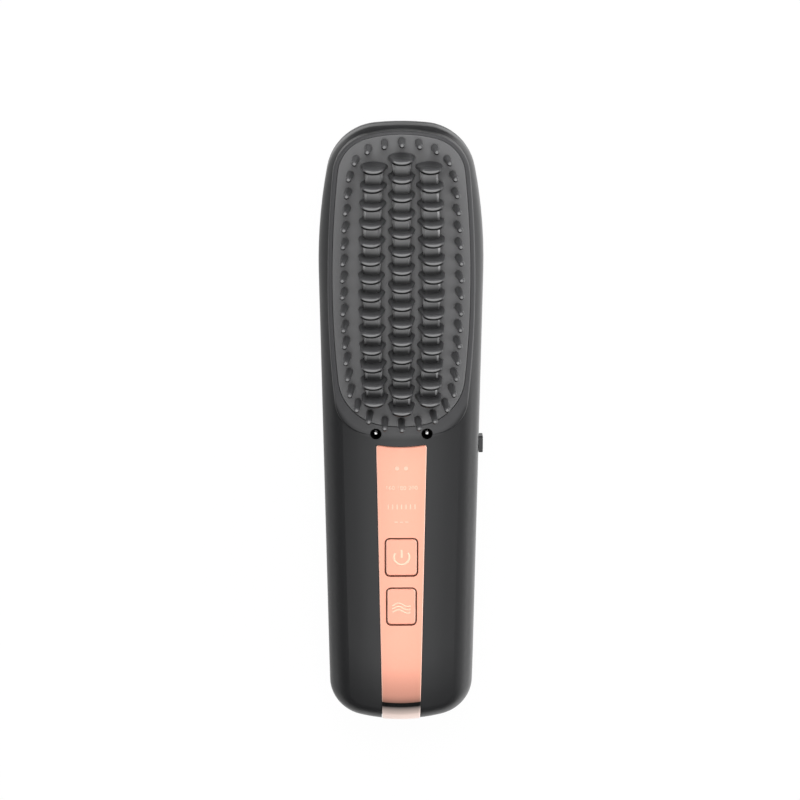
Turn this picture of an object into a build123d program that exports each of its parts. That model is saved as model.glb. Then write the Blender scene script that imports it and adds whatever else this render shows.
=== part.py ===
from build123d import *
import math
import os

# Cordless hot comb.  Units are millimetres.  The comb lies on its back: the teeth point
# to +Z, the head is at +Y, the handle at -Y and the side switch is on +X.  The origin is
# in the flat of the back, half way along the casing.

# ------------------------------------------------------------------ driving dimensions

# casing, seen from the front
body_length = 210.0
body_half_width = 27.35
widest_y = 55.5
shoulder_x = 21.55
shoulder_drop = 2.8
shoulder_round = 17.9
tail_x = 24.53
tail_drop = 4.8
tail_round = 13.6

# casing, seen from the end
body_height = 28.0
front_crown_radius = 95.0
front_round = 8.5
back_round = 13.5
crown_reach = 40.0
tail_dip_turn = 60.0
tail_dip_length = 30.0
tail_dip_radius = 90.0
wall = 2.2
parting_z = 14.6
lap_height = 1.2
lap_thickness = 0.9
lap_gap = 0.1
seam_height = 0.3
seam_depth = 0.25

# comb plate and the raised rim around it
plate_half_width = 22.75
plate_half_length = 49.45
plate_y = 53.95
plate_side_bow = 2.9
plate_end_bow = 5.0
plate_corner = 13.0
plate_tail_corner = 17.0
plate_thickness = 2.0
plate_crest = 29.65
plate_cross_radius = 118.0
plate_long_radius = 800.0
plate_edge_round = 0.35
plate_gap = 0.12
plate_ledge = 2.2
rim_side = 1.55
rim_top = 1.0
rim_bottom = 4.6
rim_tail_corner = 12.0
rim_foot_z = 19.0
rim_edge_round = 0.7
barrel_reach = 75.0

# heater rails and guard teeth, in three columns
rail_width = 5.6
rail_height = 3.7
rail_chamfer = 0.7
rail_end_cover = 0.3
rail_slot_gap = 0.15
column_x = 9.84
column_bow = 1.16
column_bow_length = 42.6
column_shift = 0.2
tooth_pitch = 5.96
tooth_height = 9.4
tooth_root_width = 9.1
tooth_root_thickness = 3.6
tooth_tip_width = 6.6
tooth_tip_thickness = 1.6
tooth_tip_bevel = 0.35
tooth_root_depth = 0.6
tooth_lean = 0.7
centre_teeth = 15
side_teeth = 14

# guard pins round the edge of the comb plate
pin_count = 42
pin_height = 10.0
pin_root_radius = 1.15
pin_tip_radius = 0.85
pin_tip_bevel = 0.4
pin_root_depth = 0.5
pin_lean = 0.5
pin_row_side_inset = 4.0
pin_row_end_inset = 2.05
pin_row_corner = 11.5
pin_row_tail_corner = 15.0

# heater stack under the comb plate
spreader_thickness = 1.6
spreader_inset = 2.8
element_thickness = 1.0
element_width = 26.0
element_length = 74.0
tray_inset = 3.2
tray_wall = 1.6
tray_floor_z = 16.5
tray_floor = 2.0
ear_x = 21.0
ear_y_spread = 24.0
ear_radius = 2.3
heater_screw_radius = 0.8
heater_screw_head = 1.5
heater_screw_head_height = 1.2
heater_screw_grip = 4.0
heater_boss_length = 5.0
screw_end_gap = 0.3
fuse_radius = 1.5
fuse_length = 12.0
fuse_spread = 41.0
sensor_length = 5.0
fuse_gap = 0.2

# ion outlets
outlet_x = 8.56
outlet_y = 1.96
outlet_radius = 1.87
outlet_bore = 1.5
outlet_top_z = 27.5
outlet_depth = 3.8
outlet_web = 0.8
outlet_gap = 0.04
needle_radius = 0.5
needle_end_radius = 0.3
needle_tip_below = 0.3
needle_point = 0.4
generator_width = 19.2
generator_length = 8.0
generator_height = 10.0
generator_y = 2.5
generator_corner = 0.8

# front panel
panel_top_y = -1.92
panel_top_sag = 0.7
panel_top_half_width = 8.45
panel_tail_half_width = 6.45
panel_seat_depth = 1.2
panel_proud = 0.25
panel_gap = 0.2
panel_corner = 0.8
panel_bevel = 0.25
panel_overrun = 2.0

# buttons
button_proud = 0.35
button_gap = 0.25
button_shell_gap = 0.35
button_corner = 1.3
button_bevel = 0.25
button_flange = 1.1
button_flange_thickness = 0.8
button_flange_clearance = 0.35
button_travel = 0.5
button_end_clearance = 0.05
button_stem_radius = 1.6
button_stem_height = 0.65
power_width = 10.4
power_length = 12.95
power_y = -41.7
wave_width = 9.55
wave_length = 12.9
wave_y = -59.5
switch_body_size = 5.2
switch_body_height = 0.7
switch_plunger_radius = 1.3

# indicator lights
lens_x = 1.5
lens_y = -10.0
lens_radius = 0.7
lens_gap = 0.02
lens_led_gap = 0.1
led_length = 2.0
led_width = 1.6
led_height = 0.9

# cells, cradle and boards
cell_radius = 9.1
cell_length = 65.0
cell_x = 9.5
cell_z = 11.7
cell_y = -39.5
cell_gap = 0.12
tab_thickness = 0.2
tab_height = 8.0
cradle_half_width = 17.5
cradle_saddle_z = 7.5
cradle_wall = 1.8
cradle_wall_half_width = 15.0
cradle_end_gap = 2.0
cradle_floor_gap = 0.1
board_thickness = 1.0
board_cell_gap = 0.5
board_half_width = 9.5
shelf_rib = 2.0
shelf_rib_x = 6.0
lock_arm_overlap = 2.0

# charging inlet in the tail
socket_width = 8.9
socket_height = 3.3
socket_depth = 7.2
socket_wall = 0.3
socket_floor = 0.7
socket_z = 11.0
socket_recess = 0.5
socket_gap = 0.15
tongue_width = 6.7
tongue_thickness = 0.7
tongue_recess = 1.0
charge_board_length = 20.0
charge_board_half_width = 6.3
charge_board_reach = 4.2
charge_rib_x = 4.5
charge_rib = 1.6

# side switch
lock_y = -5.3
lock_travel = 2.5
lock_cap_length = 5.8
lock_cap_height = 4.4
lock_cap_gap = 0.15
lock_cap_thickness = 1.4
lock_cap_round = 0.6
lock_groove = 0.5
lock_groove_y = 2.0
lock_neck_length = 3.2
lock_neck_height = 2.6
lock_slot_gap = 0.2
lock_slider_length = 11.0
lock_slider_height = 6.4
lock_slider_thickness = 1.1
lock_slider_gap = 0.3
lock_nub_length = 2.0
lock_nub_height = 1.6
lock_nub_reach = 0.7
lock_body_gap = 0.3
lock_body_depth = 3.2
lock_body_length = 9.0
lock_body_height = 6.0

# screws that close the casing
neck_screw_x = 13.2
neck_screw_y = 4.5
tail_screw_x = 11.0
tail_screw_y = -86.0
case_screw_radius = 1.08
case_screw_head = 2.3
case_screw_head_height = 1.6
case_screw_top_z = 21.0
screw_seat_z = 5.0
screw_gap = 0.2
pilot_gap = 0.02
back_boss_radius = 3.1
front_boss_radius = 2.6
boss_end_gap = 0.3
plug_length = 3.2
plug_gap = 0.05

# how far a cutting or building shape runs past the face that it has to cross
overrun = 1.0

# ------------------------------------------------------------------ derived places

half_length = body_length / 2
barrel_axis_z = plate_crest - plate_cross_radius
opening_floor_z = parting_z - wall
above_all_z = plate_crest + tooth_height + overrun
element_rise = -plate_thickness - spreader_thickness
pad_rise = element_rise - element_thickness
inner_crest_z = body_height - wall
tray_top_z = tray_floor_z + tray_floor
board_z = cell_z + cell_radius + board_cell_gap
board_top_z = board_z + board_thickness
flange_top_z = inner_crest_z - button_flange_clearance
flange_z = flange_top_z - button_flange_thickness
stem_z = flange_z - button_stem_height
plunger_top_z = stem_z - button_travel - button_end_clearance
cradle_z = wall + cradle_floor_gap
tail_wall_y = cell_y - cell_length / 2 - cradle_end_gap - cradle_wall
neck_wall_y = cell_y + cell_length / 2 + cradle_end_gap
shelf_z = board_top_z - generator_height
socket_board_z = socket_z - socket_height / 2 - board_thickness
charge_board_y = charge_board_reach + charge_board_length / 2 - half_length
side_slope = (body_half_width - tail_x) / (widest_y + half_length - tail_drop)
lock_wall_x = body_half_width - side_slope * (widest_y - lock_y)
lock_cap_x = lock_wall_x + lock_cap_gap
lock_slider_x = lock_wall_x - wall - lock_slider_gap - lock_slider_thickness
lock_body_x = lock_slider_x - lock_body_gap
case_screw_places = [
    (neck_screw_x, neck_screw_y),
    (-neck_screw_x, neck_screw_y),
    (tail_screw_x, tail_screw_y),
    (-tail_screw_x, tail_screw_y),
]
heater_screw_places = [
    (x, plate_y + y)
    for x in (ear_x, -ear_x)
    for y in (ear_y_spread, -ear_y_spread)
]
column_names = {-1: "left", 0: "centre", 1: "right"}
column_y = plate_y + column_shift
above = (Align.CENTER, Align.CENTER, Align.MIN)

os.makedirs("parts", exist_ok=True)

# ------------------------------------------------------------------ shared forms


def casing_plan():
    """Outline of the casing from the front: crowned ends, bowed cheeks, straight taper."""
    shoulder = (shoulder_x, half_length - shoulder_drop)
    tail = (tail_x, tail_drop - half_length)
    with BuildSketch() as plan:
        with BuildLine():
            side = Line(tail, (body_half_width, widest_y))
            TangentArc(side @ 1, shoulder, tangent=side % 1)
            mirror(about=Plane.YZ)
            ThreePointArc((-shoulder[0], shoulder[1]), (0, half_length), shoulder)
            ThreePointArc((-tail[0], tail[1]), (0, -half_length), tail)
        make_face()
        fillet(plan.vertices().group_by(Axis.Y)[-1], shoulder_round)
        fillet(plan.vertices().group_by(Axis.Y)[0], tail_round)
    return plan.sketch


def casing_crown(inset):
    """Everything under the casing's crowned front, which dips towards the tail."""
    radius = front_crown_radius - inset
    crest = body_height - inset
    edge_z = crest - radius + math.sqrt(radius**2 - crown_reach**2)
    dip_y = tail_dip_length - half_length
    dip_axis = Axis((0, dip_y, body_height - tail_dip_radius), (1, 0, 0))
    with BuildPart() as crown:
        with BuildSketch(Plane.XZ.offset(-dip_y)) as section:
            with BuildLine():
                Polyline(
                    (-crown_reach, edge_z),
                    (-crown_reach, -body_height),
                    (crown_reach, -body_height),
                    (crown_reach, edge_z),
                )
                ThreePointArc((-crown_reach, edge_z), (0, crest), (crown_reach, edge_z))
            make_face()
        extrude(section.sketch, amount=-body_length)
        revolve(section.sketch, axis=dip_axis, revolution_arc=tail_dip_turn)
    return crown.part


def casing_form(inset):
    """The casing's solid form, with every face moved in by inset."""
    with BuildPart() as form:
        with BuildSketch(Plane.XY.offset(inset)):
            add(casing_plan())
            offset(amount=-inset)
        extrude(amount=body_height + overrun)
        add(casing_crown(inset), mode=Mode.INTERSECT)
        fillet(form.edges().group_by(Axis.Z)[0], back_round - inset)
        rim = form.edges().filter_by(lambda edge: edge.bounding_box().min.Z > parting_z)
        fillet(rim.filter_by(lambda edge: edge.bounding_box().size.Y > lap_gap), front_round - inset)
    return form.part


def oval(half_width, half_length_y, centre_y, corner, tail_corner):
    """Four shallow arcs about Y = centre_y; the corners are rounded by one radius at each end."""
    corner_x = half_width - plate_side_bow
    corner_y = half_length_y - plate_end_bow
    with BuildSketch(Plane.XY) as shape:
        with BuildLine():
            for sign in (1, -1):
                ThreePointArc(
                    (sign * corner_x, centre_y - corner_y),
                    (sign * half_width, centre_y),
                    (sign * corner_x, centre_y + corner_y),
                )
                ThreePointArc(
                    (-corner_x, centre_y + sign * corner_y),
                    (0, centre_y + sign * half_length_y),
                    (corner_x, centre_y + sign * corner_y),
                )
        make_face()
        fillet(shape.vertices().group_by(Axis.Y)[-1], corner)
        fillet(shape.vertices().group_by(Axis.Y)[0], tail_corner)
    return shape.sketch


def plate_oval(grow=0.0):
    """Outline of the comb plate, made larger by grow."""
    return oval(
        plate_half_width + grow,
        plate_half_length + grow,
        plate_y,
        plate_corner + grow,
        plate_tail_corner + grow,
    )


def barrel_radius(y, rise):
    """Distance of the barrel surface from the barrel's axis at a place along the comb."""
    bend = math.sqrt((plate_long_radius + rise) ** 2 - (y - plate_y) ** 2)
    return plate_cross_radius + bend - plate_long_radius


def barrel(rise):
    """Everything under the comb plate's barrel-shaped surface, moved up by rise."""
    low = plate_y - barrel_reach
    high = plate_y + barrel_reach
    start = (barrel_radius(low, rise), low)
    end = (barrel_radius(high, rise), high)
    with BuildPart() as solid:
        with BuildSketch(Plane.XY.offset(barrel_axis_z)):
            with BuildLine():
                Polyline(start, (0, low), (0, high), end)
                ThreePointArc(start, (barrel_radius(plate_y, rise), plate_y), end)
            make_face()
        revolve(axis=Axis((0, 0, barrel_axis_z), (0, -1, 0)), revolution_arc=180)
    return solid.part


def column(sketch, low_z, high_z):
    """A straight column over a sketch, between two heights."""
    with BuildPart() as block:
        with BuildSketch(Plane.XY.offset(low_z)):
            add(sketch)
        extrude(amount=high_z - low_z)
    return block.part


def layer(sketch, top_rise, bottom_rise):
    """A sheet over a sketch that lies between two barrel surfaces."""
    with BuildPart() as sheet:
        add(column(sketch, opening_floor_z, above_all_z))
        add(barrel(top_rise), mode=Mode.INTERSECT)
        add(barrel(bottom_rise), mode=Mode.SUBTRACT)
    return sheet.part


def seat_plane(x, y, lean):
    """Plane on the comb plate's face at a place; it leans outwards as the plate does, times lean."""
    radius = barrel_radius(y, 0)
    origin = (x, y, barrel_axis_z + math.sqrt(radius**2 - x**2))
    roll = lean * math.asin(x / radius)
    pitch = lean * math.asin((y - plate_y) / plate_long_radius)
    normal = (math.sin(roll) * math.cos(pitch), math.sin(pitch), math.cos(roll) * math.cos(pitch))
    return Plane(origin=origin, x_dir=(math.cos(roll), 0, -math.sin(roll)), z_dir=normal)


def column_place(side, y):
    """Distance of a tooth column's line from the middle, at a place along the comb."""
    along = (y - column_y) / column_bow_length
    return side * (column_x - column_bow * along**2)


def tooth_places(side):
    """Places along the comb of one column's teeth."""
    count = side_teeth if side else centre_teeth
    return [column_y + tooth_pitch * (index - (count - 1) / 2) for index in range(count)]


def rail_plan(side, grow=0.0):
    """Outline of one heater rail: a band, bowed in the side columns, that ends inside the end teeth."""
    reach = column_bow_length
    ends = side * (column_x - column_bow)
    length = tooth_places(side)[-1] - tooth_places(side)[0] + 2 * (rail_end_cover + grow)
    with BuildSketch() as plan:
        if side:
            middle = (side * column_x, column_y)
            spine = ThreePointArc((ends, column_y - reach), middle, (ends, column_y + reach))
            SlotArc(spine, rail_width + 2 * grow)
        else:
            with Locations((0, column_y)):
                SlotCenterToCenter(2 * reach, rail_width + 2 * grow, rotation=90)
        with Locations((0, column_y)):
            Rectangle(2 * plate_half_width, length, mode=Mode.INTERSECT)
    return plan.sketch


def panel_plan(grow=0.0):
    """Outline of the front panel: a long taper with a hollow top edge."""
    tail_y = -half_length - panel_overrun
    with BuildSketch() as plan:
        with BuildLine():
            Polyline(
                (panel_top_half_width, panel_top_y),
                (panel_tail_half_width, tail_y),
                (-panel_tail_half_width, tail_y),
                (-panel_top_half_width, panel_top_y),
            )
            ThreePointArc(
                (-panel_top_half_width, panel_top_y),
                (0, panel_top_y - panel_top_sag),
                (panel_top_half_width, panel_top_y),
            )
        make_face()
        fillet(plan.vertices().group_by(Axis.Y)[-1], panel_corner)
        if grow:
            offset(amount=grow)
    return plan.sketch


def button_plan(width, length, y, grow=0.0):
    """Outline of a button cap, made larger by grow."""
    with BuildSketch() as plan:
        with Locations((0, y)):
            RectangleRounded(width + 2 * grow, length + 2 * grow, button_corner + grow)
    return plan.sketch


def discs(places, radius):
    """Round discs at several places."""
    with BuildSketch() as plan:
        with Locations(*places):
            Circle(radius)
    return plan.sketch


outer_form = casing_form(0)
inner_form = casing_form(wall)
plate_blank = layer(plate_oval(), 0, -plate_thickness)
buttons = ((power_width, power_length, power_y), (wave_width, wave_length, wave_y))
lens_places = [(lens_x, lens_y), (-lens_x, lens_y)]
outlet_places = [(outlet_x, outlet_y), (-outlet_x, outlet_y)]

# ------------------------------------------------------------------ casing


def rim_block():
    """Raised oval block that carries the comb plate, before it is opened."""
    top = plate_y + plate_half_length + rim_top
    bottom = plate_y - plate_half_length - rim_bottom
    shape = oval(
        plate_half_width + rim_side,
        (top - bottom) / 2,
        (top + bottom) / 2,
        plate_corner + rim_side,
        rim_tail_corner,
    )
    with BuildPart() as block:
        add(column(shape, rim_foot_z, above_all_z))
        add(barrel(0), mode=Mode.INTERSECT)
        crest = block.faces().sort_by(Axis.Z)[-1]
        fillet(crest.edges(), rim_edge_round)
    return block.part


def lock_slot():
    """Slot for the side switch's neck, through the right-hand wall."""
    low_y = lock_y - lock_neck_length / 2 - lock_slot_gap
    length = lock_neck_length + lock_travel + 2 * lock_slot_gap
    with BuildPart() as slot:
        with Locations((lock_wall_x - wall, low_y + length / 2, parting_z)):
            Box(4 * wall, length, lock_neck_height + 2 * lock_slot_gap)
    return slot.part


def charge_ribs():
    """Two ribs in the tail of the back shell that carry the charging board."""
    with BuildPart() as ribs:
        with BuildSketch():
            with Locations((charge_rib_x, charge_board_y), (-charge_rib_x, charge_board_y)):
                Rectangle(charge_rib, charge_board_length - 2 * charge_rib)
        extrude(amount=socket_board_z)
        add(casing_form(wall / 2), mode=Mode.INTERSECT)
    return ribs.part


def screw_column(radius, low_z, high_z):
    """Round columns on the axes of the casing screws."""
    return column(discs(case_screw_places, radius), low_z, high_z)


def heater_screw_column(radius, low_z, high_z):
    """Round columns on the axes of the heater screws."""
    return column(discs(heater_screw_places, radius), low_z, high_z)


with BuildPart() as seam:
    add(column(casing_plan(), parting_z - seam_height / 2, parting_z + seam_height / 2))
    add(casing_form(seam_depth), mode=Mode.SUBTRACT)

with BuildPart() as lap_recess:
    add(column(casing_plan(), parting_z - overrun, parting_z + lap_height + lap_gap))
    add(casing_form(wall - lap_thickness - lap_gap), mode=Mode.INTERSECT)

with BuildPart() as panel_pocket:
    add(column(panel_plan(panel_gap), parting_z - overrun, above_all_z))
    add(casing_form(panel_seat_depth), mode=Mode.SUBTRACT)

with BuildPart() as front_openings:
    add(column(plate_oval(-plate_ledge), 0, above_all_z))
    add(column(discs(lens_places, lens_radius + lens_gap), parting_z, above_all_z))
    add(column(discs(outlet_places, outlet_radius + outlet_gap), parting_z, above_all_z))
    for width, length, y in buttons:
        add(column(button_plan(width, length, y, button_shell_gap), parting_z, above_all_z))

with BuildPart() as front_shell:
    add(outer_form)
    add(rim_block())
    add(inner_form, mode=Mode.SUBTRACT)
    split(bisect_by=Plane.XY.offset(parting_z), keep=Keep.TOP)
    add(lap_recess.part, mode=Mode.SUBTRACT)
    add(screw_column(front_boss_radius, parting_z, inner_crest_z - boss_end_gap))
    add(heater_screw_column(ear_radius, tray_top_z, tray_top_z + heater_boss_length))
    add(screw_column(case_screw_radius + pilot_gap, 0, case_screw_top_z + screw_end_gap), mode=Mode.SUBTRACT)
    heater_pilot_z = tray_top_z + heater_screw_grip + screw_end_gap
    add(heater_screw_column(heater_screw_radius + pilot_gap, 0, heater_pilot_z), mode=Mode.SUBTRACT)
    add(front_openings.part, mode=Mode.SUBTRACT)
    add(layer(plate_oval(plate_gap), tooth_height, -plate_thickness), mode=Mode.SUBTRACT)
    add(panel_pocket.part, mode=Mode.SUBTRACT)
    add(lock_slot(), mode=Mode.SUBTRACT)
    add(seam.part, mode=Mode.SUBTRACT)
front_shell.part.label = "front_shell"
export_step(front_shell.part, "parts/front_shell.step")

with BuildPart() as back_shell:
    add(outer_form)
    split(bisect_by=Plane.XY.offset(parting_z), keep=Keep.BOTTOM)
    lip = column(casing_plan(), parting_z - overrun, parting_z + lap_height)
    add(lip & casing_form(wall - lap_thickness))
    add(inner_form, mode=Mode.SUBTRACT)
    add(screw_column(back_boss_radius, wall / 2, parting_z))
    add(charge_ribs())
    add(screw_column(case_screw_radius + screw_gap, -overrun, above_all_z), mode=Mode.SUBTRACT)
    add(screw_column(case_screw_head + screw_gap, -overrun, screw_seat_z), mode=Mode.SUBTRACT)
    with BuildSketch(Plane.XZ.offset(half_length + overrun)):
        with Locations((0, socket_z)):
            SlotOverall(socket_width + 2 * socket_gap, socket_height + 2 * socket_gap)
    extrude(amount=-socket_depth, mode=Mode.SUBTRACT)
    add(lock_slot(), mode=Mode.SUBTRACT)
    add(seam.part, mode=Mode.SUBTRACT)
back_shell.part.label = "back_shell"
export_step(back_shell.part, "parts/back_shell.step")

with BuildPart() as case_screws:
    add(screw_column(case_screw_radius, screw_seat_z, case_screw_top_z))
    add(screw_column(case_screw_head, screw_seat_z - case_screw_head_height, screw_seat_z))
case_screws.part.label = "case_screws"
export_step(case_screws.part, "parts/case_screws.step")

with BuildPart() as screw_plugs:
    add(screw_column(case_screw_head + screw_gap - plug_gap, -overrun, plug_length))
    add(casing_form(plug_gap), mode=Mode.INTERSECT)
screw_plugs.part.label = "screw_plugs"
export_step(screw_plugs.part, "parts/screw_plugs.step")

# ------------------------------------------------------------------ comb head

with BuildPart() as comb_plate:
    add(plate_blank)
    fillet(comb_plate.faces().sort_by(Axis.Z)[-1].edges(), plate_edge_round)
    for side in column_names:
        add(column(rail_plan(side, rail_slot_gap), opening_floor_z, above_all_z), mode=Mode.SUBTRACT)
comb_plate.part.label = "comb_plate"
export_step(comb_plate.part, "parts/comb_plate.step")

pin_row = oval(
    plate_half_width - pin_row_side_inset,
    plate_half_length - pin_row_end_inset,
    plate_y,
    pin_row_corner,
    pin_row_tail_corner,
).wire()
pin_row_start = pin_row.param_at_point((0, plate_y + plate_half_length - pin_row_end_inset))
pin_seats = []
for index in range(pin_count):
    place = pin_row @ ((pin_row_start + index / pin_count) % 1)
    pin_seats.append(seat_plane(place.X, place.Y, pin_lean))

with BuildPart() as guard_pins:
    shank = pin_height - pin_tip_bevel
    with Locations(*[seat.offset(-pin_root_depth) for seat in pin_seats]):
        Cone(pin_root_radius, pin_tip_radius, shank + pin_root_depth, align=above)
    with Locations(*[seat.offset(shank) for seat in pin_seats]):
        Cone(pin_tip_radius, pin_tip_radius - pin_tip_bevel, pin_tip_bevel, align=above)
    add(plate_blank, mode=Mode.SUBTRACT)
guard_pins.part.label = "guard_pins"
export_step(guard_pins.part, "parts/guard_pins.step")


def tooth(seat):
    """One guard tooth on its seat: an oval blade that thins towards a bevelled tip."""
    with BuildPart() as blade:
        with BuildSketch(seat.offset(-tooth_root_depth)):
            Ellipse(tooth_root_width / 2, tooth_root_thickness / 2)
        with BuildSketch(seat.offset(tooth_height - tooth_tip_bevel)):
            Ellipse(tooth_tip_width / 2, tooth_tip_thickness / 2)
        with BuildSketch(seat.offset(tooth_height)):
            Ellipse(tooth_tip_width / 2 - tooth_tip_bevel, tooth_tip_thickness / 2 - tooth_tip_bevel)
        loft(ruled=True)
    return blade.part


for side, column_name in column_names.items():
    with BuildPart() as heater_rail:
        add(layer(rail_plan(side), rail_height, -plate_thickness))
        chamfer(heater_rail.faces().sort_by(Axis.Z)[-1].edges(), rail_chamfer)
    heater_rail.part.label = f"heater_rail_{column_name}"
    export_step(heater_rail.part, f"parts/heater_rail_{column_name}.step")

    with BuildPart() as guard_teeth:
        for y in tooth_places(side):
            add(tooth(seat_plane(column_place(side, y), y, tooth_lean)))
        add(plate_blank, mode=Mode.SUBTRACT)
        add(heater_rail.part, mode=Mode.SUBTRACT)
    guard_teeth.part.label = f"guard_teeth_{column_name}"
    export_step(guard_teeth.part, f"parts/guard_teeth_{column_name}.step")

# ------------------------------------------------------------------ heater stack

with BuildPart() as heat_spreader:
    add(layer(plate_oval(-spreader_inset), -plate_thickness, element_rise))
heat_spreader.part.label = "heat_spreader"
export_step(heat_spreader.part, "parts/heat_spreader.step")

with BuildSketch() as element_plan:
    with Locations((0, plate_y)):
        Rectangle(element_width, element_length)

with BuildPart() as heating_element:
    add(layer(element_plan.sketch, element_rise, pad_rise))
heating_element.part.label = "heating_element"
export_step(heating_element.part, "parts/heating_element.step")

with BuildPart() as insulation_pad:
    add(column(element_plan.sketch, tray_top_z, above_all_z))
    add(barrel(pad_rise), mode=Mode.INTERSECT)
insulation_pad.part.label = "insulation_pad"
export_step(insulation_pad.part, "parts/insulation_pad.step")

with BuildPart() as heater_tray:
    add(column(plate_oval(-tray_inset), tray_floor_z, above_all_z))
    add(barrel(element_rise), mode=Mode.INTERSECT)
    add(column(plate_oval(-tray_inset - tray_wall), tray_top_z, above_all_z), mode=Mode.SUBTRACT)
    with BuildSketch(Plane.XY.offset(tray_floor_z)):
        for x, y in heater_screw_places:
            with Locations((x, y)):
                Circle(ear_radius)
            with Locations((x - math.copysign(ear_radius, x), y)):
                Rectangle(2 * ear_radius, 2 * ear_radius)
    extrude(amount=tray_floor)
    add(heater_screw_column(heater_screw_radius + screw_gap, 0, tray_top_z), mode=Mode.SUBTRACT)
heater_tray.part.label = "heater_tray"
export_step(heater_tray.part, "parts/heater_tray.step")

with BuildPart() as heater_screws:
    add(heater_screw_column(heater_screw_radius, tray_floor_z, tray_top_z + heater_screw_grip))
    add(heater_screw_column(heater_screw_head, tray_floor_z - heater_screw_head_height, tray_floor_z))
heater_screws.part.label = "heater_screws"
export_step(heater_screws.part, "parts/heater_screws.step")

fuse_top_z = barrel_axis_z + barrel_radius(plate_y + fuse_spread, 0) + element_rise
fuse_z = fuse_top_z - fuse_radius - fuse_gap

with BuildPart() as thermal_fuse:
    with Locations((0, plate_y - fuse_spread, fuse_z)):
        Cylinder(fuse_radius, fuse_length, rotation=(0, 90, 0))
thermal_fuse.part.label = "thermal_fuse"
export_step(thermal_fuse.part, "parts/thermal_fuse.step")

with BuildPart() as temperature_sensor:
    with Locations((0, plate_y + fuse_spread, fuse_z)):
        Cylinder(fuse_radius, sensor_length, rotation=(0, 90, 0))
temperature_sensor.part.label = "temperature_sensor"
export_step(temperature_sensor.part, "parts/temperature_sensor.step")

# ------------------------------------------------------------------ ion outlets

needle_top_z = outlet_top_z - needle_tip_below
for outlet_name, place in zip(("right", "left"), outlet_places):
    with BuildPart() as ion_outlet:
        floor_z = outlet_top_z - outlet_depth
        add(column(discs([place], outlet_radius), floor_z, outlet_top_z))
        add(column(discs([place], outlet_bore), floor_z + outlet_web, outlet_top_z), mode=Mode.SUBTRACT)
        add(column(discs([place], needle_radius + pilot_gap), 0, outlet_top_z), mode=Mode.SUBTRACT)
    ion_outlet.part.label = f"ion_outlet_{outlet_name}"
    export_step(ion_outlet.part, f"parts/ion_outlet_{outlet_name}.step")

    with BuildPart() as ion_needle:
        add(column(discs([place], needle_radius), board_top_z, needle_top_z - needle_point))
        with Locations((place[0], place[1], needle_top_z - needle_point)):
            Cone(needle_radius, needle_end_radius, needle_point, align=above)
    ion_needle.part.label = f"ion_needle_{outlet_name}"
    export_step(ion_needle.part, f"parts/ion_needle_{outlet_name}.step")

with BuildPart() as ion_generator:
    with Locations((0, generator_y, shelf_z)):
        Box(generator_width, generator_length, generator_height, align=above)
    fillet(ion_generator.edges().filter_by(Axis.Z), generator_corner)
ion_generator.part.label = "ion_generator"
export_step(ion_generator.part, "parts/ion_generator.step")

# ------------------------------------------------------------------ front panel and buttons



def is_border(edge):
    """Whether an edge runs along the panel's face border and not across the face or down its wall."""
    box = edge.bounding_box()
    across = abs(edge.center().X) < panel_corner
    at_top = edge.center().Y > panel_top_y - panel_corner - panel_top_sag
    standing = box.size.Z > box.size.Y and box.min.Y > -half_length + front_round
    low = box.max.Z < parting_z + lap_height
    return not (standing or low or (across and not at_top))


with BuildPart() as front_panel:
    add(column(panel_plan(), parting_z + lap_gap, above_all_z))
    add(casing_form(-panel_proud), mode=Mode.INTERSECT)
    chamfer(front_panel.edges().filter_by(is_border), panel_bevel)
    add(casing_form(panel_seat_depth), mode=Mode.SUBTRACT)
    for width, length, y in buttons:
        add(column(button_plan(width, length, y, button_gap), parting_z, above_all_z), mode=Mode.SUBTRACT)
    add(column(discs(lens_places, lens_radius + lens_gap), parting_z, above_all_z), mode=Mode.SUBTRACT)
front_panel.part.label = "front_panel"
export_step(front_panel.part, "parts/front_panel.step")

for button_name, (width, length, y) in zip(("power", "wave"), buttons):
    with BuildPart() as button:
        add(column(button_plan(width, length, y), flange_z, above_all_z))
        add(casing_form(-button_proud), mode=Mode.INTERSECT)
        chamfer(button.faces().sort_by(Axis.Z)[-1].edges(), button_bevel)
        add(column(button_plan(width, length, y, button_flange), flange_z, flange_top_z))
        add(column(discs([(0, y)], button_stem_radius), stem_z, flange_z))
    button.part.label = f"{button_name}_button"
    export_step(button.part, f"parts/{button_name}_button.step")

    with BuildPart() as tact_switch:
        with BuildSketch(Plane.XY.offset(board_top_z)):
            with Locations((0, y)):
                Rectangle(switch_body_size, switch_body_size)
        extrude(amount=switch_body_height)
        add(column(discs([(0, y)], switch_plunger_radius), board_top_z, plunger_top_z))
    tact_switch.part.label = f"{button_name}_switch"
    export_step(tact_switch.part, f"parts/{button_name}_switch.step")

with BuildPart() as indicator_lenses:
    add(column(discs(lens_places, lens_radius), board_top_z + led_height + lens_led_gap, above_all_z))
    add(casing_form(-panel_proud), mode=Mode.INTERSECT)
indicator_lenses.part.label = "indicator_lenses"
export_step(indicator_lenses.part, "parts/indicator_lenses.step")

with BuildPart() as indicator_leds:
    with BuildSketch(Plane.XY.offset(board_top_z)):
        with Locations(*lens_places):
            Rectangle(led_width, led_length)
    extrude(amount=led_height)
indicator_leds.part.label = "indicator_leds"
export_step(indicator_leds.part, "parts/indicator_leds.step")

# ------------------------------------------------------------------ power pack and boards

with BuildPart() as main_board:
    board_start = tail_wall_y + lap_gap
    board_end = neck_wall_y + cradle_wall - lap_gap
    with Locations((0, (board_start + board_end) / 2, board_z)):
        Box(2 * board_half_width, board_end - board_start, board_thickness, align=above)
main_board.part.label = "main_board"
export_step(main_board.part, "parts/main_board.step")

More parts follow.
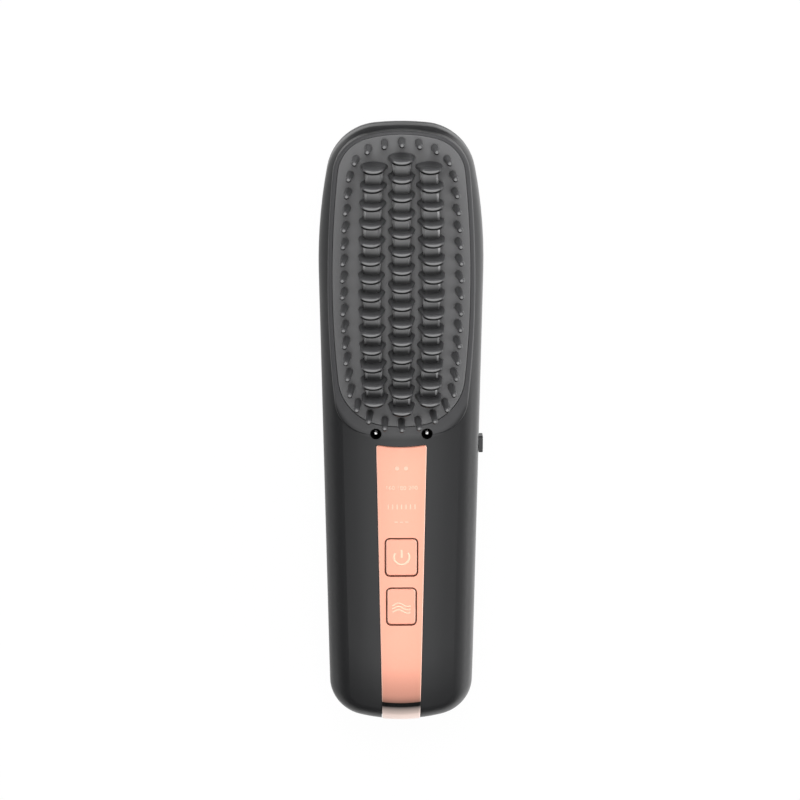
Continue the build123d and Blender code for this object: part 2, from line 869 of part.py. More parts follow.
for cell_name, x in (("right", cell_x), ("left", -cell_x)):
    with BuildPart() as battery_cell:
        with Locations((x, cell_y, cell_z)):
            Cylinder(cell_radius, cell_length, rotation=(90, 0, 0))
    battery_cell.part.label = f"battery_cell_{cell_name}"
    export_step(battery_cell.part, f"parts/battery_cell_{cell_name}.step")

with BuildPart() as battery_tabs:
    for sign in (1, -1):
        with Locations((0, cell_y + sign * (cell_length + tab_thickness) / 2, cell_z)):
            Box(2 * cell_x + tab_height, tab_thickness, tab_height)
battery_tabs.part.label = "battery_tabs"
export_step(battery_tabs.part, "parts/battery_tabs.step")

with BuildPart() as battery_cradle:
    with BuildSketch(Plane.XY.offset(cradle_z)):
        with Locations((0, (tail_wall_y + neck_wall_y + cradle_wall) / 2)):
            Rectangle(2 * cradle_half_width, neck_wall_y + cradle_wall - tail_wall_y)
    extrude(amount=cradle_saddle_z - cradle_z)
    for x in (cell_x, -cell_x):
        with Locations((x, cell_y, cell_z)):
            Cylinder(
                cell_radius + cell_gap,
                cell_length + 2 * cradle_end_gap,
                rotation=(90, 0, 0),
                mode=Mode.SUBTRACT,
            )
    with BuildSketch(Plane.XY.offset(cradle_z)):
        with Locations((0, tail_wall_y + cradle_wall / 2), (0, neck_wall_y + cradle_wall / 2)):
            Rectangle(2 * cradle_wall_half_width, cradle_wall)
    extrude(amount=board_z - cradle_z)
    shelf_end_y = generator_y + generator_length / 2
    with BuildSketch(Plane.XY.offset(cradle_z)):
        with Locations(
            (shelf_rib_x, (neck_wall_y + shelf_end_y) / 2),
            (-shelf_rib_x, (neck_wall_y + shelf_end_y) / 2),
        ):
            Rectangle(shelf_rib, shelf_end_y - neck_wall_y)
    extrude(amount=shelf_z - cradle_z)
    lock_arm_start = cradle_wall_half_width - lock_arm_overlap
    with BuildSketch(Plane.XY.offset(parting_z - lock_body_height / 2 - shelf_rib)):
        with Locations(((lock_arm_start + lock_body_x) / 2, neck_wall_y + cradle_wall / 2)):
            Rectangle(lock_body_x - lock_arm_start, cradle_wall)
    extrude(amount=shelf_rib)
    add(casing_form(wall + cradle_floor_gap), mode=Mode.INTERSECT)
battery_cradle.part.label = "battery_cradle"
export_step(battery_cradle.part, "parts/battery_cradle.step")

socket_face = socket_recess - half_length
with BuildPart() as charge_socket:
    with BuildSketch(Plane.XZ.offset(-socket_face)):
        with Locations((0, socket_z)):
            SlotOverall(socket_width, socket_height)
    extrude(amount=-socket_depth)
    with BuildSketch(Plane.XZ.offset(-socket_face)):
        with Locations((0, socket_z)):
            SlotOverall(socket_width - 2 * socket_wall, socket_height - 2 * socket_wall)
    extrude(amount=socket_floor - socket_depth, mode=Mode.SUBTRACT)
    with BuildSketch(Plane.XZ.offset(-socket_face - tongue_recess)):
        with Locations((0, socket_z)):
            Rectangle(tongue_width, tongue_thickness)
    extrude(amount=socket_floor / 2 + tongue_recess - socket_depth)
charge_socket.part.label = "charge_socket"
export_step(charge_socket.part, "parts/charge_socket.step")

with BuildPart() as charge_board:
    with BuildSketch(Plane.XY.offset(socket_board_z)):
        with Locations((0, charge_board_y)):
            Rectangle(2 * charge_board_half_width, charge_board_length)
    extrude(amount=board_thickness)
charge_board.part.label = "charge_board"
export_step(charge_board.part, "parts/charge_board.step")

# ------------------------------------------------------------------ side switch

with BuildPart() as lock_knob:
    with BuildSketch(Plane.YZ.offset(lock_cap_x)):
        with Locations((lock_y, parting_z)):
            RectangleRounded(lock_cap_length, lock_cap_height, lock_cap_round)
    extrude(amount=lock_cap_thickness)
    fillet(lock_knob.faces().sort_by(Axis.X)[-1].edges(), lock_cap_round / 2)
    with BuildSketch(Plane.YZ.offset(lock_cap_x + lock_cap_thickness - lock_groove / 2)):
        with Locations((lock_y - lock_groove_y, parting_z), (lock_y + lock_groove_y, parting_z)):
            Rectangle(lock_groove, lock_cap_height)
    extrude(amount=lock_groove, mode=Mode.SUBTRACT)
    slider_face_x = lock_slider_x + lock_slider_thickness
    with BuildSketch(Plane.YZ.offset(slider_face_x)):
        with Locations((lock_y, parting_z)):
            Rectangle(lock_neck_length, lock_neck_height)
    extrude(amount=lock_cap_x - slider_face_x)
lock_knob.part.label = "lock_knob"
export_step(lock_knob.part, "parts/lock_knob.step")

with BuildPart() as lock_slider:
    with BuildSketch(Plane.YZ.offset(lock_slider_x)):
        with Locations((lock_y, parting_z)):
            Rectangle(lock_slider_length, lock_slider_height)
    extrude(amount=lock_slider_thickness)
    with BuildSketch(Plane.YZ.offset(lock_slider_x)):
        with Locations((lock_y, parting_z)):
            Rectangle(lock_nub_length, lock_nub_height)
    extrude(amount=-lock_nub_reach)
lock_slider.part.label = "lock_slider"
export_step(lock_slider.part, "parts/lock_slider.step")

with BuildPart() as lock_switch:
    track_length = lock_nub_length + lock_travel + 2 * lock_slot_gap
    with BuildSketch(Plane.YZ.offset(lock_body_x)):
        with Locations((lock_y, parting_z)):
            Rectangle(lock_body_length, lock_body_height)
    extrude(amount=-lock_body_depth)
    with BuildSketch(Plane.YZ.offset(lock_body_x)):
        with Locations((lock_y + lock_travel / 2, parting_z)):
            Rectangle(track_length, lock_nub_height + 2 * lock_slot_gap)
    extrude(amount=-lock_nub_reach, mode=Mode.SUBTRACT)
lock_switch.part.label = "lock_switch"
export_step(lock_switch.part, "parts/lock_switch.step")
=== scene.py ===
"""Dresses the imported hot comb: finishes, guard teeth, guard pins, symbols, marks and the studio.

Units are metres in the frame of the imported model: the comb lies on its back, teeth to +Z, head to +Y.
"""

import logging
import math
from collections.abc import Iterable, Mapping, Sequence
from dataclasses import dataclass, field
from enum import Enum

import bmesh
import bpy
import numpy as np
from mathutils import Matrix, Vector

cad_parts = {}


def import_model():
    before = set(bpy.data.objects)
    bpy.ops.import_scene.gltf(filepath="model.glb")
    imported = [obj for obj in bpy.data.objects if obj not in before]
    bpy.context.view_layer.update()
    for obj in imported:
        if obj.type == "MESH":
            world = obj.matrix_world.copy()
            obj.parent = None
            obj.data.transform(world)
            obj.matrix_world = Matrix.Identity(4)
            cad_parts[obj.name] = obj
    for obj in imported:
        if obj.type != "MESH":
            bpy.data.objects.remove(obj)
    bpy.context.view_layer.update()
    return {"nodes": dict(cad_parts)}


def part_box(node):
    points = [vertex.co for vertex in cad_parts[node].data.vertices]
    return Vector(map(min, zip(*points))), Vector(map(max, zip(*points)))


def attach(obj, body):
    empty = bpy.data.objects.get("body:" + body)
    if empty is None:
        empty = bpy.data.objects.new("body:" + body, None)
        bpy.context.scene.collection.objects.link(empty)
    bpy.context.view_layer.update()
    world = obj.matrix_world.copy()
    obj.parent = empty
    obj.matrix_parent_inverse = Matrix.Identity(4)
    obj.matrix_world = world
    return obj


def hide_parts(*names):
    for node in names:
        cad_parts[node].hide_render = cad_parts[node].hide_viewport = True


LOG = logging.getLogger("hot_comb")
MM = 0.001
WHITE = (1.0, 1.0, 1.0)

Colour = tuple[float, float, float]
Point = tuple[float, float, float]
Stops = Sequence[tuple[float, float]]
Span = tuple[float, float]


class Body(Enum):
    """The bodies of the frame that new pieces ride on."""

    CASING = "casing"
    POWER = "power_button"
    WAVE = "wave_button"


# ---------------------------------------------------------------- node trees


class Value:
    """An output socket.  Python operators on it add Math nodes to its tree."""

    def __init__(self, bench: "Bench", socket: bpy.types.NodeSocket) -> None:
        """Keeps the tree's bench and the socket."""
        self.bench = bench
        self.socket = socket

    def math(self, operation: str, *others: "Value | float") -> "Value":
        """Feeds this value and others to one Math node.

        Args:
            operation: The Math node's operation.
            others: The second and third operands.

        Returns:
            The node's result.
        """
        return self.bench.math(operation, self, *others)

    def __add__(self, other: "Value | float") -> "Value":
        """Adds."""
        return self.math("ADD", other)

    __radd__ = __add__

    def __mul__(self, other: "Value | float") -> "Value":
        """Multiplies."""
        return self.math("MULTIPLY", other)

    __rmul__ = __mul__

    def __sub__(self, other: "Value | float") -> "Value":
        """Subtracts."""
        return self.math("SUBTRACT", other)

    def __neg__(self) -> "Value":
        """Changes the sign."""
        return self.math("MULTIPLY", -1.0)

    def __rsub__(self, other: float) -> "Value":
        """Subtracts this value from a number."""
        return self.bench.math("SUBTRACT", other, self)

    def __truediv__(self, other: "Value | float") -> "Value":
        """Divides."""
        return self.math("DIVIDE", other)

    def __pow__(self, other: "Value | float") -> "Value":
        """Raises to a power."""
        return self.math("POWER", other)

    def clamped(self) -> "Value":
        """This value, held between 0 and 1."""
        return self.math("MINIMUM", 1.0).math("MAXIMUM", 0.0)


Feed = Value | float | int | str | bool | Sequence[float] | bpy.types.ID


class Made:
    """A node that has been added, whose outputs are read by name or number."""

    def __init__(self, bench: "Bench", node: bpy.types.Node) -> None:
        """Keeps the bench and the node."""
        self.bench = bench
        self.node = node

    def __getitem__(self, key: str | int) -> Value:
        """The output with that name or number."""
        return Value(self.bench, self.node.outputs[key])


class Bench:
    """Adds nodes to one shader or geometry tree."""

    def __init__(self, tree: bpy.types.NodeTree) -> None:
        """Keeps the tree that nodes are added to."""
        self.tree = tree

    def node(
        self,
        kind: str,
        settings: Mapping[str, object] | None = None,
        inputs: Mapping[str | int, Feed] | None = None,
    ) -> Made:
        """Adds one node.

        Args:
            kind: The node's type.
            settings: Its properties, set first; "stops" are a colour ramp's places and colours.
            inputs: A value or another node's output for each of its sockets.

        Returns:
            The node, for reading its outputs.
        """
        node = self.tree.nodes.new(kind)
        for name, value in (settings or {}).items():
            if name == "stops":
                self._set_stops(node.color_ramp, value)
            else:
                setattr(node, name, value)
        for key, value in (inputs or {}).items():
            self.feed(node.inputs[key], value)
        return Made(self, node)

    def feed(self, socket: bpy.types.NodeSocket, value: Feed) -> None:
        """Links an output to a socket, or sets the socket's own value.

        Args:
            socket: The socket.
            value: Another node's output, or a plain value.
        """
        if isinstance(value, Value):
            self.tree.links.new(value.socket, socket)
        else:
            socket.default_value = value

    def math(self, operation: str, *values: Value | float) -> Value:
        """Adds a Math node for the values."""
        return self.node("ShaderNodeMath", {"operation": operation}, dict(enumerate(values)))[0]

    def mix(self, factor: Value | float, first: Feed, second: Feed) -> Value:
        """Mixes two colours by a factor."""
        settings = {"data_type": "RGBA"}
        return self.node("ShaderNodeMix", settings, {0: factor, 6: opaque(first), 7: opaque(second)})[2]

    @staticmethod
    def _set_stops(ramp: bpy.types.ColorRamp, stops: Stops) -> None:
        """Gives a colour ramp its grey stops.

        Args:
            ramp: The ramp.
            stops: A place and a brightness for each stop.
        """
        while len(ramp.elements) < len(stops):
            ramp.elements.new(0.5)
        for element, (place, grey) in zip(ramp.elements, stops):
            element.position = place
            element.color = (grey, grey, grey, 1.0)


def cleared(holder: bpy.types.Material | bpy.types.World) -> Bench:
    """Empties the tree of a material or a world.

    Args:
        holder: The material or the world.

    Returns:
        The bench of its empty tree.
    """
    holder.use_nodes = True
    holder.node_tree.nodes.clear()
    return Bench(holder.node_tree)


def opaque(colour: Feed) -> Feed:
    """Gives a plain colour full alpha.

    Args:
        colour: A plain colour, or anything else that a colour socket takes.

    Returns:
        The colour with its alpha; anything else as it is.
    """
    if isinstance(colour, tuple) and len(colour) == 3:
        return (*colour, 1.0)
    return colour


def tinted(colour: Colour, factor: float) -> Colour:
    """A colour made lighter or darker by a factor."""
    return tuple(min(1.0, channel * factor) for channel in colour)


# ---------------------------------------------------------------- finishes


@dataclass(frozen=True)
class Finish:
    """A surface finish.  Subclasses add what is special to their stuff in paint().

    Attributes:
        name: The material's name.
        colour: Base colour, linear.
        roughness: Mean roughness.
        smudge: How much the roughness wanders.
        patch: Size of the wandering patches.
        grain: Size of the surface grain.
        relief: Height of the grain.
        mottle: How much the colour wanders.
        metallic: Metallic share.
        specular: Strength of the plain reflection.
        gloss_patch: Size of the patches of gloss, as a share of the other patches' size.
    """

    name: str
    colour: Colour
    roughness: float = 0.4
    smudge: float = 0.05
    patch: float = 9 * MM
    grain: float = 0.25 * MM
    relief: float = 0.004 * MM
    mottle: float = 0.06
    metallic: float = 0.0
    specular: float = 0.5
    gloss_patch: float = 1.7

    def material(self) -> bpy.types.Material:
        """Builds the material.

        Returns:
            The finished material.
        """
        made = bpy.data.materials.new(self.name)
        bench = cleared(made)
        place = bench.node("ShaderNodeTexCoord")["Object"]
        inputs = {
            "Base Color": self.paint(bench, place),
            "Roughness": self._gloss(bench, place),
            "Normal": self.surface(bench, place),
            "Metallic": self.metal_share(bench, place),
            "Specular IOR Level": self.specular,
        }
        inputs.update(self.extras())
        shader = bench.node("ShaderNodeBsdfPrincipled", inputs=inputs)
        bench.node("ShaderNodeOutputMaterial", inputs={"Surface": shader[0]})
        return made

    def extras(self) -> dict[str, Feed]:
        """Constants for other sockets of the shader."""
        return {}

    def metal_share(self, bench: Bench, place: Value) -> Value | float:
        """The metallic share, the same all over unless a finish varies it."""
        return self.metallic

    def noise(self, bench: Bench, place: Value, size: float, detail: float = 2.0) -> Value:
        """Noise with features of about a size, from 0 to 1."""
        inputs = {"Vector": place, "Scale": 1.0 / size, "Detail": detail}
        return bench.node("ShaderNodeTexNoise", inputs=inputs)[0]

    def paint(self, bench: Bench, place: Value) -> Value:
        """The base colour, with a slow wander.

        Args:
            bench: The material's bench.
            place: Object coordinates.

        Returns:
            The colour.
        """
        wander = self.noise(bench, place, self.patch)
        return bench.mix(wander, tinted(self.colour, 1 - self.mottle), tinted(self.colour, 1 + self.mottle))

    def surface(self, bench: Bench, place: Value) -> Value:
        """The normal, with the grain as a bump.

        Args:
            bench: The material's bench.
            place: Object coordinates.

        Returns:
            The normal.
        """
        height = self.noise(bench, place, self.grain, 3.0)
        inputs = {"Height": height, "Distance": self.relief, "Strength": 1.0}
        return bench.node("ShaderNodeBump", inputs=inputs)["Normal"]

    def _gloss(self, bench: Bench, place: Value) -> Value:
        """The roughness, with patches a little glossier or duller."""
        wander = self.noise(bench, place, self.patch * self.gloss_patch, 4.0)
        return (self.roughness - self.smudge) + wander * (2 * self.smudge)


def normal_share(bench: Bench, axis: int, span: Span) -> Value:
    """How far the surface faces along an axis.

    Args:
        bench: The material's bench.
        axis: Number of the axis.
        span: Parts of the normal along the axis at which the share is 0 and 1.

    Returns:
        The share, from 0 to 1.
    """
    start, end = span
    normal = bench.node("ShaderNodeNewGeometry")["Normal"]
    part = bench.node("ShaderNodeSeparateXYZ", inputs={0: normal})[axis]
    return ((part - start) / (end - start)).clamped()


def side_share(bench: Bench, span: Span) -> Value:
    """How far the surface faces to either side.

    Args:
        bench: The material's bench.
        span: Sideways parts of the normal at which the share is 0 and 1.

    Returns:
        The share, from 0 to 1.
    """
    start, end = span
    return (normal_share(bench, 0, span) + normal_share(bench, 0, (-start, -end))).clamped()


@dataclass(frozen=True)
class CasingMoulding(Finish):
    """Moulded casing whose raised rim round the comb plate is painted paler, as painted light for the light
    that the flatter rim band catches.

    Attributes:
        rim_light_colour: Colour of the rim, a paler painted light.
        crest: Height of the rim's surface at its middle.
        centre_y: Place of that middle along the comb.
        cross_radius: Radius of the surface across the comb.
        long_radius: Radius along the comb.
        reach: Depth below the surface at which the rim's painted light ends.
        fade: Depth over which it changes.
        tail_y: Place of the rim's tail end at its middle.
        tail_rise: How far forward of that its two corners lie.
        tail_span: Distance of the corners from the middle.
        tail_fade: Length over which the painted light fades out at the tail end.
    """

    rim_light_colour: Colour = (0.042, 0.042, 0.044)
    crest: float = 29.65 * MM
    centre_y: float = 53.95 * MM
    cross_radius: float = 118 * MM
    long_radius: float = 800 * MM
    reach: float = 0.3 * MM
    fade: float = 0.2 * MM
    tail_y: float = 0.9 * MM
    tail_rise: float = 5.9 * MM
    tail_span: float = 18.6 * MM
    tail_fade: float = 2.0 * MM

    def paint(self, bench: Bench, place: Value) -> Value:
        """The base colour, with painted light on the rim: paler there.

        Args:
            bench: The material's bench.
            place: Object coordinates.

        Returns:
            The colour.
        """
        parts = bench.node("ShaderNodeSeparateXYZ", inputs={0: place})
        squared = parts[0] * parts[0]
        ahead = parts[1] - self.centre_y
        fall = squared / (2 * self.cross_radius) + ahead * ahead / (2 * self.long_radius)
        below = (self.crest - fall - parts[2]).math("ABSOLUTE")
        level = 1 - ((below - self.reach) / self.fade).clamped()
        corner = squared * squared * (self.tail_rise / self.tail_span**4)
        before = ((parts[1] - self.tail_y - corner) / self.tail_fade + 0.5).clamped()
        # painted light: the rim band gets a paler colour for the light that it catches
        return bench.mix(level * before, super().paint(bench, place), self.rim_light_colour)


@dataclass(frozen=True)
class TipsWithPaintedLight(Finish):
    """Nylon forms with painted light: a painted highlight where the tips face straight up, and painted shade
    near the root and on the tip's bevel towards the tail.

    Attributes:
        tip_highlight_colour: Painted highlight, the colour where the surface faces straight up.
        highlight_turn: Upward parts of the normal at which the painted highlight begins and is full.
        root_shade_colour: Painted shade round the root, where the form meets the plate.
        root_shade_height: Height up to which that painted shade darkens a form.
        lee_shade_colour: Painted shade on the tip's bevel towards the tail, which faces away from the light.
        lee_shade_back: Parts of the normal along the comb between which that painted shade comes in.
        lee_shade_up: Upward parts between which it comes in.
    """

    tip_highlight_colour: Colour = (0.145, 0.145, 0.147)
    highlight_turn: Span = (0.93, 0.97)
    root_shade_colour: Colour = (0.009, 0.009, 0.01)
    root_shade_height: float = 0.45 * MM
    lee_shade_colour: Colour = (0.006, 0.006, 0.006)
    lee_shade_back: Span = (-0.16, -0.3)
    lee_shade_up: Span = (0.2, 0.35)

    def paint(self, bench: Bench, place: Value) -> Value:
        """The base colour, with a painted highlight at the tips and painted shade round the root and on the
        lee side.

        Args:
            bench: The material's bench.
            place: Object coordinates.

        Returns:
            The colour.
        """
        # painted shade near the root, where the form meets the plate
        height = bench.node("ShaderNodeAttribute", {"attribute_name": "height"})["Fac"]
        painted_shade = 1 - (height / self.root_shade_height).clamped()
        shank = bench.mix(painted_shade, super().paint(bench, place), self.root_shade_colour)
        # painted highlight where the tip faces straight up
        highlighted = bench.mix(normal_share(bench, 2, self.highlight_turn), shank, self.tip_highlight_colour)
        # painted shade on the tip's bevel that faces the tail, away from the light
        lee = normal_share(bench, 1, self.lee_shade_back) * normal_share(bench, 2, self.lee_shade_up)
        return bench.mix(lee, highlighted, self.lee_shade_colour)


@dataclass(frozen=True)
class RailGlaze(Finish):
    """Glaze over a heater rail, with a painted highlight on its bevelled edges and painted shade in front of
    each guard tooth.

    Attributes:
        edge_highlight_colour: Painted highlight on the bevelled edges.
        bevel: Sideways parts of the normal between which the painted highlight on a bevel comes in.
        tooth_shade_colour: Painted shade close to a tooth, where the tooth shades the rail.
        tooth_y: Place of the centre column's middle tooth.
        pitch: Distance from tooth to tooth.
        side_x: Distance from the middle beyond which a rail is a side rail, with staggered teeth.
        full_shade_share: Share of the pitch in front of a tooth that has the full painted shade.
        unshaded_share: Share at which the painted shade has faded out.
    """

    edge_highlight_colour: Colour = (0.42, 0.42, 0.425)
    bevel: Span = (0.35, 0.5)
    tooth_shade_colour: Colour = (0.028, 0.028, 0.029)
    tooth_y: float = 54.15 * MM
    pitch: float = 5.96 * MM
    side_x: float = 5 * MM
    full_shade_share: float = 0.25
    unshaded_share: float = 0.58

    def paint(self, bench: Bench, place: Value) -> Value:
        """The base colour, with a painted highlight on the edges and painted shade in front of each tooth.

        Args:
            bench: The material's bench.
            place: Object coordinates.

        Returns:
            The colour.
        """
        parts = bench.node("ShaderNodeSeparateXYZ", inputs={0: place})
        staggered = parts[0].math("ABSOLUTE").math("GREATER_THAN", self.side_x)
        phase = ((parts[1] - self.tooth_y) / self.pitch + staggered * 0.5).math("FRACT")
        # painted shade: darker in front of each tooth, where the tooth shades the rail
        clear = ((phase - self.full_shade_share) / (self.unshaded_share - self.full_shade_share)).clamped()
        # painted highlight on the bevelled edges
        edges = side_share(bench, self.bevel)
        face = bench.mix(edges, super().paint(bench, place), self.edge_highlight_colour)
        return bench.mix(clear, self.tooth_shade_colour, face)


@dataclass(frozen=True)
class PearlPaint(Finish):
    """Paint with fine pearl flakes, with a painted highlight along its side edges.

    Attributes:
        flake: Size of a flake.
        sparkle: How much single flakes differ.
        edge_highlight_colour: Painted highlight along the bevelled edges at the sides.
        bevel: Sideways parts of the normal between which that painted highlight comes in.
    """

    flake: float = 0.09 * MM
    sparkle: float = 0.04
    edge_highlight_colour: Colour = (0.95, 0.56, 0.44)
    bevel: Span = (0.3, 0.55)

    def paint(self, bench: Bench, place: Value) -> Value:
        """The tone, with flakes a little lighter than their neighbours.

        Args:
            bench: The material's bench.
            place: Object coordinates.

        Returns:
            The colour.
        """
        cells = bench.node("ShaderNodeTexVoronoi", inputs={"Vector": place, "Scale": 1.0 / self.flake})
        pick = bench.node("ShaderNodeSeparateColor", inputs={0: cells["Color"]})[0]
        light = bench.node(
            "ShaderNodeMix",
            {"data_type": "RGBA", "blend_type": "SCREEN"},
            {0: pick * self.sparkle, 6: self.tone(bench, place), 7: opaque(WHITE)},
        )
        return light[2]

    def tone(self, bench: Bench, place: Value) -> Value:
        """The paint without its flakes, with a painted highlight along the side edges."""
        # painted highlight along the side edges
        return bench.mix(side_share(bench, self.bevel), super().paint(bench, place), self.edge_highlight_colour)


@dataclass(frozen=True)
class BandedPearl(PearlPaint):
    """Pearl paint with painted shade where the panel turns down at the tail and next to a black seam, and an
    end band past the seam.

    Attributes:
        turned_shade_colour: Painted shade where the panel turns down, away from the light.
        turned_shade_share: How much of that painted shade shows.
        turn: Parts of the normal along the comb between which it comes in.
        end_colour: Colour of the end band.
        seam_and_shade_colour: Colour in the seam, and of the painted shade next to it.
        seam_y: Place of the seam's ends along the comb.
        seam_sag: How far the seam's middle lies towards the tail.
        seam_half_width: Half its length.
        seam_width: Its width.
        seam_edge: Length over which its edges soften.
        seam_shade: Length past the seam over which the end band is shaded.
        seam_lead: Length ahead of the seam over which the panel is shaded.
        lead_shade_share: How dark that painted shade gets there.
    """

    turned_shade_colour: Colour = (0.08, 0.05, 0.042)
    turned_shade_share: float = 0.97
    turn: Span = (-0.08, -0.46)
    end_colour: Colour = (0.95, 0.76, 0.69)
    seam_and_shade_colour: Colour = (0.001, 0.001, 0.001)
    seam_y: float = -96.5 * MM
    seam_sag: float = 0.4 * MM
    seam_half_width: float = 6.5 * MM
    seam_width: float = 1.6 * MM
    seam_edge: float = 0.08 * MM
    seam_shade: float = 3.4 * MM
    seam_lead: float = 3.5 * MM
    lead_shade_share: float = 0.6

    def tone(self, bench: Bench, place: Value) -> Value:
        """The pearl tone, with painted shade at the turn and next to the seam, the seam itself and the end
        band.

        Args:
            bench: The material's bench.
            place: Object coordinates.

        Returns:
            The colour.
        """
        # painted shade where the panel turns down at the tail
        turned = normal_share(bench, 1, self.turn) * self.turned_shade_share
        base = bench.mix(turned, super().tone(bench, place), self.turned_shade_colour)
        past = self._past_seam(bench, place)
        # painted shade ahead of the seam
        near = 1 - ((-past - self.seam_width / 2) / self.seam_lead).clamped()
        base = bench.mix(near * near * self.lead_shade_share, base, self.seam_and_shade_colour)
        # painted shade past the seam, fading into the end band
        shade = ((past - self.seam_width / 2) / self.seam_shade).clamped()
        band = bench.mix(shade, self.seam_and_shade_colour, self.end_colour)
        base = bench.mix((past / self.seam_edge).clamped(), base, band)
        return bench.mix(self._in_seam(past), base, self.seam_and_shade_colour)

    def metal_share(self, bench: Bench, place: Value) -> Value:
        """The metallic share, full in the seam, so that its black reflects nothing."""
        seam = self._in_seam(self._past_seam(bench, place))
        return seam * (1 - self.metallic) + self.metallic

    def _past_seam(self, bench: Bench, place: Value) -> Value:
        """How far a place lies past the seam's middle line, towards the tail.

        Args:
            bench: The material's bench.
            place: Object coordinates.

        Returns:
            The distance, below 0 ahead of the seam.
        """
        parts = bench.node("ShaderNodeSeparateXYZ", inputs={0: place})
        sag = self.seam_sag - parts[0] * parts[0] * (self.seam_sag / self.seam_half_width**2)
        return self.seam_y - sag - parts[1]

    def _in_seam(self, past: Value) -> Value:
        """1 in the seam and 0 outside it."""
        return 1 - ((past.math("ABSOLUTE") - self.seam_width / 2) / self.seam_edge).clamped()


@dataclass(frozen=True)
class BrushedMetal(Finish):
    """Metal with fine lines along one axis.

    Attributes:
        stretch: How much longer than wide the lines are, along each axis.
    """

    metallic: float = 1.0
    stretch: Point = (1.0, 0.04, 1.0)

    def surface(self, bench: Bench, place: Value) -> Value:
        """The normal, with drawn-out grain."""
        drawn = bench.node("ShaderNodeMapping", inputs={"Vector": place, "Scale": self.stretch})[0]
        return super().surface(bench, drawn)


@dataclass(frozen=True)
class BoardLacquer(Finish):
    """Solder lacquer over the copper tracks of a circuit board.

    Attributes:
        track: Spacing of the tracks.
        track_length: Length of a track.
        track_width: Width of a track.
        copper: Colour over a track.
    """

    track: float = 1.4 * MM
    track_length: float = 7.0 * MM
    track_width: float = 0.2333 * MM
    copper: Colour = (0.05, 0.2, 0.06)

    def paint(self, bench: Bench, place: Value) -> Value:
        """Lacquer, lighter over the tracks.

        Args:
            bench: The material's bench.
            place: Object coordinates.

        Returns:
            The colour.
        """
        bricks = bench.node(
            "ShaderNodeTexBrick",
            inputs={
                "Vector": place,
                "Scale": 1.0,
                "Mortar Size": self.track_width,
                "Brick Width": self.track_length,
                "Row Height": self.track,
            },
        )
        return bench.mix(bricks["Fac"], super().paint(bench, place), self.copper)


@dataclass(frozen=True)
class ShrinkWrap(Finish):
    """Heat-shrunk sleeve with faint rings along the cell.

    Attributes:
        ring: Spacing of the rings.
        ring_relief: Height of a ring, as a share of the grain's height.
        waver: How far the rings wander.
    """

    ring: float = 2.3 * MM
    ring_relief: float = 10.0
    waver: float = 1.5

    def surface(self, bench: Bench, place: Value) -> Value:
        """The normal, with the rings of the shrunk sleeve.

        Args:
            bench: The material's bench.
            place: Object coordinates.

        Returns:
            The normal.
        """
        rings = bench.node(
            "ShaderNodeTexWave",
            {"wave_type": "BANDS", "bands_direction": "Y"},
            {"Vector": place, "Scale": 0.3 / self.ring, "Distortion": self.waver},
        )
        inputs = {"Height": rings["Fac"], "Distance": self.relief * self.ring_relief, "Strength": 0.4}
        return bench.node("ShaderNodeBump", inputs=inputs)["Normal"]


@dataclass(frozen=True)
class LightGuide(Finish):
    """Frosted clear plastic that carries light, whose glow is painted light given off by the material itself.

    Attributes:
        glow: Strength of the painted light that it gives off.
        clearness: Share of the light that passes through it.
    """

    glow: float = 0.12
    clearness: float = 0.35

    def extras(self) -> dict[str, Feed]:
        """The glow, painted light that the material gives off by itself."""
        return {
            "Transmission Weight": self.clearness,
            "Emission Color": opaque(self.colour),
            "Emission Strength": self.glow,
        }


GRAPHITE = (0.0102, 0.0104, 0.0112)
ROSE = (0.8, 0.338, 0.236)
IVORY = (0.94, 0.575, 0.425)

